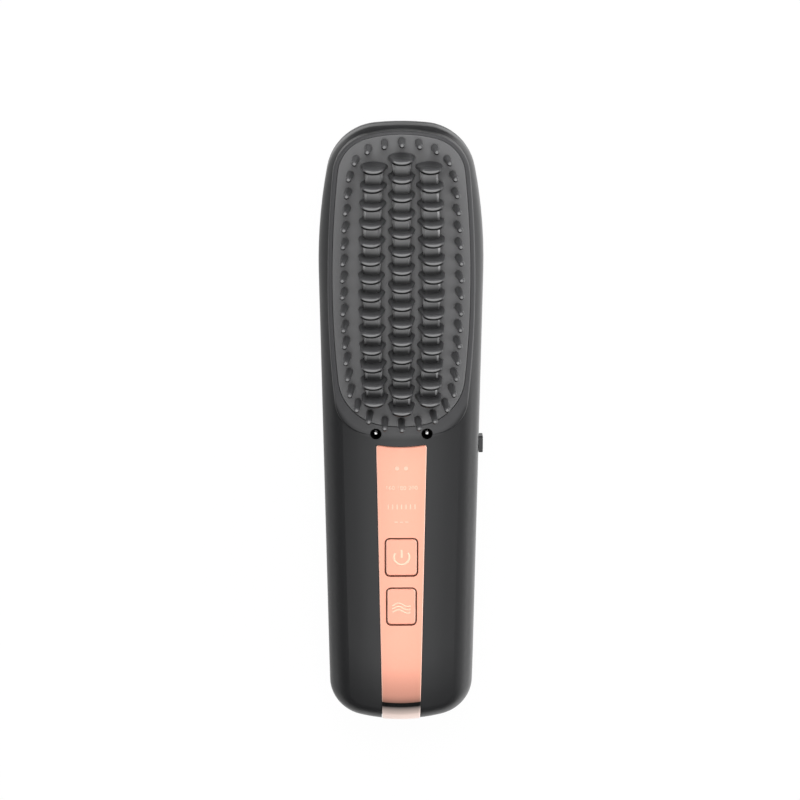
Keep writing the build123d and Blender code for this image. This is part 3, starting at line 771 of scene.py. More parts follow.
FINISHES: dict[str, Finish] = {
    "casing": CasingMoulding("graphite_moulding", GRAPHITE, roughness=0.33, smudge=0.04),
    "casing_back": Finish("graphite_moulding_back", GRAPHITE, roughness=0.4, relief=0.008 * MM),
    "plug_rubber": Finish("soft_plug_rubber", (0.02, 0.02, 0.021), roughness=0.75, relief=0.01 * MM),
    "comb_plate": Finish(
        "plate_coating", (0.106, 0.106, 0.108), roughness=0.42, grain=0.12 * MM, relief=0.006 * MM
    ),
    "guard_pins": TipsWithPaintedLight("guard_nylon_pins", (0.048, 0.048, 0.05), roughness=0.32),
    "guard_teeth": TipsWithPaintedLight("guard_nylon_teeth", (0.048, 0.048, 0.05), roughness=0.3),
    "heater_rail": RailGlaze(
        "rail_glaze", (0.19, 0.19, 0.193), roughness=0.2, smudge=0.03, relief=0.001 * MM, metallic=0.15
    ),
    "outlet": Finish("outlet_black", (0.001, 0.001, 0.001), roughness=0.9, specular=0.05),
    "needle": Finish("emitter_white", (0.95, 0.95, 0.94), roughness=0.5, mottle=0.01),
    "generator": Finish("potting_black", (0.012, 0.012, 0.013), roughness=0.3, patch=3 * MM),
    "front_panel": BandedPearl(
        "rose_pearl_panel", ROSE, roughness=0.3, smudge=0.03, mottle=0.015, metallic=0.3
    ),
    "buttons": PearlPaint(
        "rose_pearl_buttons", ROSE, roughness=0.33, smudge=0.03, mottle=0.015, metallic=0.27
    ),
    "switch_parts": Finish("switch_black", (0.02, 0.02, 0.022), roughness=0.5),
    # painted light: the lens glows so that it looks paler than the panel
    "lens": LightGuide("frosted_guide", (1.0, 0.58, 0.45), roughness=0.35, glow=0.14),
    "led": LightGuide("led_epoxy", (0.9, 0.88, 0.7), roughness=0.2, glow=0.05),
    "circuit_board": BoardLacquer("board_lacquer", (0.01, 0.09, 0.03), roughness=0.3),
    "cell_wrap": ShrinkWrap("cell_sleeve", (0.03, 0.16, 0.36), roughness=0.28),
    "nickel": BrushedMetal("nickel_strip", (0.62, 0.6, 0.56), roughness=0.3),
    "steel": BrushedMetal("zinc_screw", (0.56, 0.56, 0.57), roughness=0.32),
    "socket_steel": BrushedMetal("socket_steel", (0.6, 0.6, 0.61), roughness=0.25),
    "spreader": BrushedMetal("spreader_aluminium", (0.72, 0.72, 0.73), roughness=0.36),
    "heating_element": Finish("element_polyimide", (0.45, 0.17, 0.03), roughness=0.25, patch=2 * MM),
    "insulation": Finish("mica_felt", (0.62, 0.58, 0.5), roughness=0.85, relief=0.05 * MM, grain=0.5 * MM),
    "heater_tray": Finish("tray_heatproof", (0.035, 0.033, 0.03), roughness=0.55),
    "cradle": Finish("cradle_moulding", (0.3, 0.3, 0.3), roughness=0.5),
    "fuse": BrushedMetal("fuse_can", (0.66, 0.62, 0.55), roughness=0.35),
    "sensor": Finish("sensor_epoxy", (0.06, 0.04, 0.03), roughness=0.4),
    "lock_knob": Finish("switch_cap_black", (0.008, 0.008, 0.009), roughness=0.3),
}
PALE_INK = Finish("pale_symbol_ink", IVORY, roughness=0.5, mottle=0.02)
FAINT_INK = Finish("faint_mark_ink", (1.0, 0.55, 0.42), roughness=0.45, mottle=0.02)
# painted shade: a dark brown line that stands for the shade in the gap round each button
PAINTED_SHADE_BROWN = Finish("joint_brown", (0.065, 0.022, 0.013), roughness=0.7, mottle=0.02, specular=0.2)


class Workshop:
    """Holds the frame's nodes and one built material for each finish."""

    def __init__(self, nodes: Mapping[str, bpy.types.Object]) -> None:
        """Keeps the frame's nodes."""
        self.nodes = nodes
        self._built: dict[str, bpy.types.Material] = {}

    def material(self, finish: Finish) -> bpy.types.Material:
        """The finish's material, built once.

        Args:
            finish: The finish.

        Returns:
            Its material.
        """
        if finish.name not in self._built:
            self._built[finish.name] = finish.material()
        return self._built[finish.name]

    def dress_nodes(self) -> None:
        """Gives every node of the frame the finish of its material slot."""
        for node in self.nodes.values():
            for slot in node.material_slots:
                slot.material = self.material(FINISHES[slot.material.name.split(".")[0]])
            LOG.info("dressed %s", node.name)


# ---------------------------------------------------------------- geometry trees


class Recipe(Bench):
    """A geometry tree with named inputs that ends in Realize Instances and Set Material."""

    def __init__(self, name: str, sizes: Mapping[str, float | int | bpy.types.Object | str]) -> None:
        """Starts the tree.

        Args:
            name: The tree's name.
            sizes: A named input and its value for each size.
        """
        super().__init__(bpy.data.node_groups.new(name, "GeometryNodeTree"))
        kinds = {float: "NodeSocketFloat", int: "NodeSocketInt", str: "NodeSocketString"}
        face = self.tree.interface
        face.new_socket(name="Geometry", in_out="INPUT", socket_type="NodeSocketGeometry")
        face.new_socket(name="Geometry", in_out="OUTPUT", socket_type="NodeSocketGeometry")
        self.sizes = dict(sizes)
        self._ids: dict[str, str] = {}
        for title, value in self.sizes.items():
            kind = kinds.get(type(value), "NodeSocketObject")
            socket = face.new_socket(name=title, in_out="INPUT", socket_type=kind)
            self._ids[title] = socket.identifier
        self.given = self.node("NodeGroupInput")

    def finish(self, geometry: Value, material: bpy.types.Material) -> None:
        """Ends the tree.

        Args:
            geometry: The geometry to give out.
            material: The material that it gets.
        """
        real = self.node("GeometryNodeRealizeInstances", inputs={0: geometry})[0]
        smooth = self.node("GeometryNodeSetShadeSmooth", inputs={"Geometry": real, "Shade Smooth": True})[0]
        painted = self.node("GeometryNodeSetMaterial", inputs={"Geometry": smooth, "Material": material})[0]
        self.node("NodeGroupOutput", inputs={0: painted})

    def bake(self, name: str, seeds: bpy.types.Mesh) -> bpy.types.Object:
        """Runs the tree on a mesh and keeps the result as a plain mesh.

        Args:
            name: The piece's name.
            seeds: The mesh that the tree starts from.

        Returns:
            The piece, with no modifier left on it.
        """
        start = bpy.data.objects.new(name + "_seeds", seeds)
        bpy.context.scene.collection.objects.link(start)
        modifier = start.modifiers.new(self.tree.name, "NODES")
        modifier.node_group = self.tree
        for title, value in self.sizes.items():
            modifier[self._ids[title]] = value
        bpy.context.view_layer.update()
        graph = bpy.context.evaluated_depsgraph_get()
        mesh = bpy.data.meshes.new_from_object(start.evaluated_get(graph))
        mesh.name = name
        start.modifiers.remove(modifier)
        bpy.data.objects.remove(start)
        piece = bpy.data.objects.new(name, mesh)
        bpy.context.scene.collection.objects.link(piece)
        return piece


def seed_mesh(
    name: str, places: Iterable[Sequence[float]], edges: Sequence[tuple[int, int]] = ()
) -> bpy.types.Mesh:
    """A mesh of points and edges for a recipe to start from.

    Args:
        name: The mesh's name.
        places: Its points.
        edges: Pairs of points that are joined.

    Returns:
        The mesh.
    """
    mesh = bpy.data.meshes.new(name)
    mesh.from_pydata([tuple(place) for place in places], list(edges), [])
    return mesh


def settle(piece: bpy.types.Object, body: Body, slot: str, *replaced: str) -> bpy.types.Object:
    """Makes a piece ride on its body and stand for CAD nodes.

    Args:
        piece: The finished piece.
        body: The body that it moves with.
        slot: Not used.
        replaced: The nodes that it stands for.

    Returns:
        The piece.
    """
    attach(piece, body.value)
    if replaced:
        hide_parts(*replaced)
    LOG.info("built %s: %d faces", piece.name, len(piece.data.polygons))
    return piece


def islands(node: bpy.types.Object) -> list[np.ndarray]:
    """The separate solids of a node.

    Args:
        node: A node of the frame.

    Returns:
        An array of points for each solid, in order along Y and then X.
    """
    copy = bmesh.new()
    copy.from_mesh(node.data)
    bmesh.ops.remove_doubles(copy, verts=copy.verts, dist=1e-6)
    seen: set[bmesh.types.BMVert] = set()
    groups = []
    for start in copy.verts:
        if start in seen:
            continue
        seen.add(start)
        group, front = [], [start]
        while front:
            vert = front.pop()
            group.append(tuple(vert.co))
            for edge in vert.link_edges:
                other = edge.other_vert(vert)
                if other not in seen:
                    seen.add(other)
                    front.append(other)
        groups.append(np.array(group))
    copy.free()
    return sorted(groups, key=lambda points: tuple(np.round(points.mean(0)[[1, 0]], 5)))


# ---------------------------------------------------------------- comb head


@dataclass
class Barrel:
    """The crowned surface of the comb plate.

    Attributes:
        crest: Height of its highest point.
        centre_y: Place of that point along the comb.
        cross_radius: Radius across the comb.
        long_radius: Radius along the comb.
        tip_slice: Depth below a solid's top over which the middle of its tip is read.
    """

    crest: float
    centre_y: float
    cross_radius: float = 118 * MM
    long_radius: float = 800 * MM
    tip_slice: float = 0.9 * MM

    def surface(self, x: float, y: float) -> float:
        """Height of the surface at a place."""
        bend = math.sqrt(self.long_radius**2 - (y - self.centre_y) ** 2) - self.long_radius
        return self.crest - self.cross_radius + math.sqrt((self.cross_radius + bend) ** 2 - x**2)

    def seat(self, points: np.ndarray, height: float, share: float) -> tuple[Vector, Vector]:
        """Seat and direction of a solid that stands on the surface.

        Args:
            points: The solid's points.
            height: Its height above the surface.
            share: How far it leans outwards, as a share of the surface's own lean.

        Returns:
            The place of its foot on the surface, and its direction.
        """
        tips = points[points[:, 2] > points[:, 2].max() - self.tip_slice]
        middle = (tips.min(0) + tips.max(0)) / 2
        roll = share * math.asin(middle[0] / (self.cross_radius + share * height))
        pitch = share * math.asin((middle[1] - self.centre_y) / (self.long_radius + share * height))
        lean = Vector((math.sin(roll) * math.cos(pitch), math.sin(pitch), math.cos(roll) * math.cos(pitch)))
        x, y = middle[:2] - height * np.array(lean[:2])
        return Vector((x, y, self.surface(x, y))), lean


class Column(Enum):
    """The three columns of guard teeth."""

    LEFT = "left"
    CENTRE = "centre"
    RIGHT = "right"


@dataclass(frozen=True)
class Form:
    """Sizes of a tapered form with a rounded tip that stands on the comb plate.

    Attributes:
        height: Height above the plate.
        root_width: Width at the root.
        root_thickness: Thickness at the root.
        tip_width: Width at the tip.
        tip_thickness: Thickness at the tip.
        tip_round: Rounding of the tip's edges.
        foot_height: Height over which the form narrows from its oval foot.
        around: Number of its sides.
        lean: How far it leans outwards, as a share of the plate's lean.
        flare: How quickly the foot narrows; 1 is a plain taper.
        fullness: Fullness of the section above the foot; 1 is an oval, less is squarer.
        bow: How far the form's middle lies behind its two sides above the foot.
        root_depth: How far the root goes down into the plate.
    """

    height: float
    root_width: float
    root_thickness: float
    tip_width: float
    tip_thickness: float
    tip_round: float
    foot_height: float
    around: int
    lean: float
    flare: float = 1.0
    fullness: float = 1.0
    bow: float = 0.0
    root_depth: float = 0.5 * MM

    def inputs(self) -> dict[str, float | int]:
        """The sizes under the names of the recipe's inputs."""
        return {
            "Height": self.height,
            "Depth": self.root_depth,
            "Root Width": self.root_width,
            "Root Thickness": self.root_thickness,
            "Tip Width": self.tip_width,
            "Tip Thickness": self.tip_thickness,
            "Round": self.tip_round,
            "Foot": self.foot_height,
            "Flare": self.flare,
            "Fullness": self.fullness,
            "Bow": self.bow,
            "Around": self.around,
        }


@dataclass
class CombHead:
    """Guard teeth and guard pins on the comb plate.

    Attributes:
        shop: The workshop.
        tooth: Sizes of a guard tooth.
        pin: Sizes of a guard pin.
        barrel: The comb plate's surface.
    """

    shop: Workshop
    tooth: Form = Form(
        height=9.4 * MM,
        root_width=9.1 * MM,
        root_thickness=3.8 * MM,
        tip_width=6.6 * MM,
        tip_thickness=2.1 * MM,
        tip_round=0.95 * MM,
        foot_height=3.4 * MM,
        around=40,
        lean=0.7,
        flare=2.0,
        fullness=0.6,
        bow=0.6 * MM,
    )
    pin: Form = Form(
        height=10.0 * MM,
        root_width=2.5 * MM,
        root_thickness=2.5 * MM,
        tip_width=1.9 * MM,
        tip_thickness=1.9 * MM,
        tip_round=0.65 * MM,
        foot_height=10.0 * MM,
        around=20,
        lean=0.5,
    )
    barrel: Barrel = field(init=False)

    def __post_init__(self) -> None:
        """Reads the barrel's place from the comb plate."""
        low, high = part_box("comb_plate")
        self.barrel = Barrel(crest=high.z, centre_y=(low.y + high.y) / 2)

    def build(self) -> None:
        """Builds the teeth of each column, and the pins."""
        for column in Column:
            self._stand(f"guard_teeth_{column.value}", "guard_teeth", self.tooth)
        self._stand("guard_pins", "guard_pins", self.pin)

    def _stand(self, node: str, slot: str, form: Form) -> None:
        """Stands one form on each seat of a node.

        Args:
            node: The node that the forms stand for.
            slot: The node's material slot.
            form: The form's sizes.
        """
        solids = islands(self.shop.nodes[node])
        seated = [self.barrel.seat(points, form.height, form.lean) for points in solids]
        mesh = seed_mesh(node + "_seats", [seat for seat, _ in seated])
        attribute = mesh.attributes.new("lean", "FLOAT_VECTOR", "POINT")
        attribute.data.foreach_set("vector", np.array([tuple(lean) for _, lean in seated]).ravel())
        recipe = self._tapered_forms(node + "_recipe", form.inputs(), FINISHES[slot])
        settle(recipe.bake(node + "_formed", mesh), Body.CASING, slot, node)

    def _tapered_forms(self, name: str, sizes: Mapping[str, float | int], finish: Finish) -> Recipe:
        """Tree that instances a tapered oval form with a rounded tip on leaning seats.

        Args:
            name: The tree's name.
            sizes: Its named inputs.
            finish: The forms' finish.

        Returns:
            The tree.
        """
        rings, shank_share, bow_zero = 12, 0.55, 0.65
        tree = Recipe(name, sizes)
        given = tree.given
        tube = tree.node(
            "GeometryNodeMeshCylinder",
            {"fill_type": "NGON"},
            {"Vertices": given["Around"], "Side Segments": rings, "Radius": 1.0, "Depth": 1.0},
        )
        spot = tree.node("ShaderNodeSeparateXYZ", inputs={0: tree.node("GeometryNodeInputPosition")[0]})
        share = spot[2] + 0.5
        shank = (share / shank_share).clamped()
        turn = ((share - shank_share) / (1 - shank_share)).clamped() * (math.pi / 2)
        reach = given["Height"] + given["Depth"]
        rise = shank * (reach - given["Round"]) + given["Round"] * turn.math("SINE")
        taper = rise / reach
        inset = given["Round"] * (1 - turn.math("COSINE"))
        half_width = (given["Root Width"] + taper * (given["Tip Width"] - given["Root Width"])) * 0.5 - inset
        above = ((rise - given["Depth"]) / given["Foot"]).clamped()
        flare = (1 - above) ** given["Flare"]
        wide = (given["Tip Thickness"] + flare * (given["Root Thickness"] - given["Tip Thickness"])) * 0.5
        half_thickness = wide - inset
        power = 1 - above * (1 - given["Fullness"])
        side = spot[0].math("ABSOLUTE") ** power * spot[0].math("SIGN")
        front = spot[1].math("ABSOLUTE") ** power * spot[1].math("SIGN")
        back = given["Bow"] * above * (side * side - bow_zero)
        height = rise - given["Depth"]
        shaped = tree.node(
            "ShaderNodeCombineXYZ",
            inputs={0: side * half_width, 1: front * half_thickness + back, 2: height},
        )[0]
        moved = tree.node("GeometryNodeSetPosition", inputs={"Geometry": tube["Mesh"], "Position": shaped})[0]
        form = tree.node(
            "GeometryNodeStoreNamedAttribute",
            {"data_type": "FLOAT", "domain": "POINT"},
            {"Geometry": moved, "Name": "height", "Value": height},
        )[0]
        lean = tree.node(
            "GeometryNodeInputNamedAttribute", {"data_type": "FLOAT_VECTOR"}, {"Name": "lean"}
        )[0]
        turned = tree.node(
            "FunctionNodeAxesToRotation",
            {"primary_axis": "Z", "secondary_axis": "Y"},
            {"Primary Axis": lean, "Secondary Axis": (0.0, 1.0, 0.0)},
        )[0]
        stood = tree.node(
            "GeometryNodeInstanceOnPoints",
            inputs={"Points": given["Geometry"], "Instance": form, "Rotation": turned},
        )[0]
        tree.finish(stood, self.shop.material(finish))
        return tree


# ---------------------------------------------------------------- symbols and marks


def arc(centre: tuple[float, float], radius: float, start: float, end: float, steps: int) -> list[Point]:
    """Points along a flat arc.

    Args:
        centre: The arc's centre.
        radius: Its radius.
        start: Angle of its first point, in degrees from +X.
        end: Angle of its last point.
        steps: Number of spans.

    Returns:
        The points, at height 0.
    """
    turns = [math.radians(start + (end - start) * step / steps) for step in range(steps + 1)]
    return [(centre[0] + radius * math.cos(turn), centre[1] + radius * math.sin(turn), 0.0) for turn in turns]


@dataclass
class InlaidLines:
    """Lines of one width that lie in the skin of a node.

    Attributes:
        shop: The workshop.
        name: The piece's name.
        target: The node whose face carries them.
        body: The body that they move with.
        slot: The material slot that they belong to.
        finish: Their finish.
        stroke: Width of a line.
        proud: How far a line stands above the face.
        depth: How far it goes down into the face.
        span: Distance between the points at which it follows the face.
    """

    shop: Workshop
    name: str
    target: str
    body: Body
    slot: str
    finish: Finish
    stroke: float
    proud: float = 0.02 * MM
    depth: float = 0.1 * MM
    span: float = 0.3 * MM

    def build(self, paths: Sequence[Sequence[Point]]) -> bpy.types.Object:
        """Lays the lines on the face.

        Args:
            paths: The points of each line, seen from above.

        Returns:
            The finished piece.
        """
        places: list[Point] = []
        edges = []
        for path in paths:
            first = len(places)
            places.extend(path)
            edges.extend((first + step, first + step + 1) for step in range(len(path) - 1))
        piece = self._laid_lines().bake(self.name, seed_mesh(self.name + "_paths", places, edges))
        return settle(piece, self.body, self.slot)

    def _laid_lines(self) -> Recipe:
        """Drops paths on the target's face and sweeps a flat section along them.

        Returns:
            The tree.
        """
        sizes = {
            "Face": self.shop.nodes[self.target],
            "Stroke": self.stroke,
            "Proud": self.proud,
            "Depth": self.depth,
            "Span": self.span,
        }
        tree = Recipe(self.name + "_recipe", sizes)
        given = tree.given
        line = tree.node("GeometryNodeMeshToCurve", inputs={0: given["Geometry"]})[0]
        even = tree.node(
            "GeometryNodeResampleCurve", {"mode": "LENGTH"}, {"Curve": line, "Length": given["Span"]}
        )[0]
        laid = drop_on_face(tree, even, given["Face"], (given["Proud"] - given["Depth"]) * 0.5)
        level = tree.node("GeometryNodeSetCurveNormal", {"mode": "Z_UP"}, {"Curve": laid})[0]
        section = tree.node(
            "GeometryNodeCurvePrimitiveQuadrilateral",
            inputs={"Width": given["Stroke"], "Height": given["Proud"] + given["Depth"]},
        )[0]
        swept = tree.node(
            "GeometryNodeCurveToMesh",
            inputs={"Curve": level, "Profile Curve": section, "Fill Caps": True},
        )[0]
        tree.finish(swept, self.shop.material(self.finish))
        return tree


def drop_on_face(tree: Recipe, shape: Value, face: Value, lift: Value) -> Value:
    """Moves a flat shape straight down or up onto a node's face.

    Args:
        tree: The tree.
        shape: The flat shape, at height 0.
        face: The node.
        lift: Height above the face.

    Returns:
        The shape, on the face.
    """
    above = 60 * MM
    body = tree.node("GeometryNodeObjectInfo", {"transform_space": "ORIGINAL"}, {"Object": face})["Geometry"]
    place = tree.node("GeometryNodeInputPosition")[0]
    start = tree.node("ShaderNodeVectorMath", {"operation": "ADD"}, {0: place, 1: (0.0, 0.0, above)})[0]
    ray = tree.node(
        "GeometryNodeRaycast",
        inputs={
            "Target Geometry": body,
            "Source Position": start,
            "Ray Direction": (0.0, 0.0, -1.0),
            "Ray Length": 2 * above,
        },
    )
    height = tree.node("ShaderNodeSeparateXYZ", inputs={0: ray["Hit Position"]})[2] + lift
    up = tree.node("ShaderNodeCombineXYZ", inputs={2: height})[0]
    return tree.node("GeometryNodeSetPosition", inputs={0: shape, "Offset": up})[0]


@dataclass
class ButtonSymbols:
    """The power sign and the wave sign on the two buttons, and a dark line of painted shade in the gap round
    each button.

    Attributes:
        shop: The workshop.
        stroke: Width of the power sign's lines.
        ring_radius: Radius of the power sign's ring.
        ring_gap: Half the angle left open at its top, in degrees.
        bar_top: Height of the bar's top above the ring's centre.
        bar_foot: How far the bar reaches below that centre.
        wave_stroke: Width of the wave sign's lines.
        wave_half_width: Half the width of the wave sign.
        wave_rise: Height of one wave.
        wave_pitch: Distance from wave to wave.
        wave_shift: How far along it a wave starts, as a share of its length.
        wave_drop: How far the wave sign lies below its button's middle.
        cap_depth: Depth below its top over which a button's cap has its full outline.
        joint_offset: Distance of a painted shade line from its button's cap.
        joint_corner: Corner radius of a painted shade line.
        joint_stroke: Width of a painted shade line.
    """

    shop: Workshop
    stroke: float = 0.75 * MM
    ring_radius: float = 2.6 * MM
    ring_gap: float = 52.0
    bar_top: float = 2.8 * MM
    bar_foot: float = 0.1 * MM
    wave_stroke: float = 0.5625 * MM
    wave_half_width: float = 3.1 * MM
    wave_rise: float = 0.65 * MM
    wave_pitch: float = 1.2 * MM
    wave_shift: float = 0.08
    wave_drop: float = 0.6 * MM
    cap_depth: float = 0.8 * MM
    joint_offset: float = 0.36 * MM
    joint_corner: float = 1.65 * MM
    joint_stroke: float = 0.34 * MM

    def build(self) -> None:
        """Builds the sign on each button, and the painted shade line in the gap round it."""
        signs = (
            ("power", Body.POWER, self.stroke, self._power_sign),
            ("wave", Body.WAVE, self.wave_stroke, self._wave_sign),
        )
        for name, body, stroke, paths in signs:
            low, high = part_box(name + "_button")
            sign = InlaidLines(
                self.shop, name + "_sign", name + "_button", body, "buttons", PALE_INK, stroke
            )
            sign.build(paths((low.x + high.x) / 2, (low.y + high.y) / 2))
        for name, *_ in signs:
            # a painted shade line round each button, in the gap between button and panel
            button = name + "_button"
            painted_shade = InlaidLines(
                self.shop,
                button + "_joint",
                "front_panel",
                Body.CASING,
                "front_panel",
                PAINTED_SHADE_BROWN,
                self.joint_stroke,
            )
            painted_shade.build([self._round_button(button)])

    def _power_sign(self, x: float, y: float) -> list[list[Point]]:
        """The open ring and the bar about a place.

        Args:
            x: The place across the comb.
            y: The place along the comb.

        Returns:
            The points of both lines.
        """
        ring = arc((x, y), self.ring_radius, 90 + self.ring_gap, 450 - self.ring_gap, 40)
        return [ring, [(x, y - self.bar_foot, 0.0), (x, y + self.bar_top, 0.0)]]

    def _wave_sign(self, x: float, y: float) -> list[list[Point]]:
        """Three waves about a button's middle.

        Args:
            x: The middle across the comb.
            y: The middle along the comb.

        Returns:
            The points of each wave.
        """
        steps = 28
        waves = []
        for row in (-1, 0, 1):
            level = y - self.wave_drop + row * self.wave_pitch
            wave = []
            for step in range(steps + 1):
                along = step / steps
                rise = self.wave_rise * math.sin(2 * math.pi * (along - self.wave_shift))
                wave.append((x + self.wave_half_width * (2 * along - 1), level + rise, 0.0))
            waves.append(wave)
        return waves

    def _round_button(self, node: str) -> list[Point]:
        """A closed line with round corners about a button's cap.

        Args:
            node: The button.

        Returns:
            The line's points, seen from above.
        """
        mesh = self.shop.nodes[node].data
        places = np.empty(3 * len(mesh.vertices))
        mesh.vertices.foreach_get("co", places)
        places = places.reshape(-1, 3)
        cap = places[places[:, 2] > places[:, 2].max() - self.cap_depth]
        (left, tail), (right, head) = cap.min(0)[:2], cap.max(0)[:2]
        LOG.info("%s cap: %.2f by %.2f mm", node, (right - left) / MM, (head - tail) / MM)
        radius, steps = self.joint_corner, 8
        inset = radius - self.joint_offset
        left, right, tail, head = left + inset, right - inset, tail + inset, head - inset
        corners = ((right, head, 0), (left, head, 90), (left, tail, 180), (right, tail, 270))
        points = [
            point for x, y, start in corners for point in arc((x, y), radius, start, start + 90, steps)
        ]
        return [*points, points[0]]


@dataclass
class PanelMarks:
    """Faint generic marks on the front panel: a row of numbers, a scale and dashes.

    Attributes:
        shop: The workshop.
        numbers: The numbers in the row.
        number_height: Height of a digit.
        font_share: Size of the font, as a share of its digits' height.
        digit_spacing: Spacing of the digits, as a share of the font's own.
        number_y: Place of the numbers.
        scale_y: Place of the scale's lines.
        scale_height: Length of its lines.
        scale_pitch: Distance from line to line.
        scale_count: Number of its lines.
        dash_y: Place of the dashes.
        dash_length: Length of a dash.
        dash_pitch: Distance from dash to dash.
        stroke: Width of lines and dashes.
        proud: How far all marks stand above the panel.
        number_depth: How far the numbers go down into it.
    """

    shop: Workshop
    numbers: str = "160 180 200"
    number_height: float = 1.5 * MM
    font_share: float = 1.37
    digit_spacing: float = 1.05
    number_y: float = -17.6 * MM
    scale_y: float = -23.6 * MM
    scale_height: float = 1.7 * MM
    scale_pitch: float = 1.5 * MM
    scale_count: int = 7
    dash_y: float = -29.1 * MM
    dash_length: float = 1.1 * MM
    dash_pitch: float = 1.8 * MM
    stroke: float = 0.35 * MM
    proud: float = 0.01 * MM
    number_depth: float = 0.05 * MM

    def build(self) -> None:
        """Builds the scale, the dashes and the numbers."""
        middle = (self.scale_count - 1) / 2
        reach = self.scale_height / 2
        scale = []
        for index in range(self.scale_count):
            x = (index - middle) * self.scale_pitch
            scale.append([(x, self.scale_y - reach, 0.0), (x, self.scale_y + reach, 0.0)])
        reach = self.dash_length / 2
        dashes = []
        for index in (-1, 0, 1):
            x = index * self.dash_pitch
            dashes.append([(x - reach, self.dash_y, 0.0), (x + reach, self.dash_y, 0.0)])
        lines = InlaidLines(
            self.shop,
            "panel_scale",
            "front_panel",
            Body.CASING,
            "front_panel",
            FAINT_INK,
            self.stroke,
            proud=self.proud,
        )
        lines.build(scale + dashes)
        self._numbers()

    def _numbers(self) -> None:
        """Builds the row of numbers on the panel."""
        sizes = {
            "Face": self.shop.nodes["front_panel"],
            "Digits": self.numbers,
            "Height": self.number_height,
            "Base": self.number_y,
            "Proud": self.proud,
            "Depth": self.number_depth,
        }
        tree = Recipe("panel_numbers_recipe", sizes)
        given = tree.given
        written = tree.node(
            "GeometryNodeStringToCurves",
            {"align_x": "CENTER"},
            {
                "String": given["Digits"],
                "Size": given["Height"] * self.font_share,
                "Character Spacing": self.digit_spacing,
            },
        )[0]
        real = tree.node("GeometryNodeRealizeInstances", inputs={0: written})[0]
        filled = tree.node("GeometryNodeFillCurve", inputs={0: real})[0]
        base = tree.node("ShaderNodeCombineXYZ", inputs={1: given["Base"]})[0]
        placed = tree.node("GeometryNodeSetPosition", inputs={0: filled, "Offset": base})[0]
        laid = drop_on_face(tree, placed, given["Face"], -given["Depth"])
        raised = tree.node(
            "GeometryNodeExtrudeMesh",
            {"mode": "FACES"},
            {
                "Mesh": laid,
                "Offset": (0.0, 0.0, 1.0),
                "Offset Scale": given["Proud"] + given["Depth"],
                "Individual": False,
            },
        )[0]
        foot = tree.node("GeometryNodeFlipFaces", inputs={0: laid})[0]
        joined = tree.node("GeometryNodeJoinGeometry")
        tree.feed(joined.node.inputs[0], raised)
        tree.feed(joined.node.inputs[0], foot)
        merged = tree.node("GeometryNodeMergeByDistance", inputs={"Geometry": joined[0], "Distance": 1e-7})[0]
        tree.finish(merged, self.shop.material(FAINT_INK))
        piece = tree.bake("panel_numbers", seed_mesh("panel_numbers_start", [(0.0, 0.0, 0.0)]))
        settle(piece, Body.CASING, "front_panel")


# ---------------------------------------------------------------- studio


@dataclass(frozen=True)
class Lamp:
    """A soft lamp.

    Attributes:
        name: Its name.
        place: Its centre.
        width: Its width.
        length: Its length.
        level: Brightness of its face.
    """

    name: str
    place: Point
    width: float
    length: float
    level: float


@dataclass(frozen=True)
class Card:
    """A card that lies on the floor beside the comb and only shows in mirror-like surfaces.

    Attributes:
        name: Its name.
        low: Its corner towards -X and -Y.
        high: Its corner towards +X and +Y.
        level: Brightness of its face.
    """

    name: str
    low: tuple[float, float]
    high: tuple[float, float]
    level: float


def level_sheet(
    name: str, low: tuple[float, float], high: tuple[float, float], height: float
) -> bpy.types.Mesh:
    """A level rectangle.

    Args:
        name: The mesh's name.
        low: Its corner towards -X and -Y.
        high: Its corner towards +X and +Y.
        height: Its height.

    Returns:
        The mesh.
    """
    (left, tail), (right, head) = low, high
    mesh = bpy.data.meshes.new(name)
    corners = [(left, tail, height), (right, tail, height), (right, head, height), (left, head, height)]
    mesh.from_pydata(corners, [], [(0, 1, 2, 3)])
    return mesh


def facing(place: Vector, aim: Vector) -> Matrix:
    """Place and turn of a camera, lamp or card that looks at a point, with its own +Y along the comb.

    Args:
        place: Where it stands.
        aim: The point that it looks at.

    Returns:
        Its matrix.
    """
    back = (place - aim).normalized()
    right = Vector((0.0, 1.0, 0.0)).cross(back).normalized()
    turn = Matrix((right, back.cross(right), back)).transposed()
    return Matrix.Translation(place) @ turn.to_4x4()


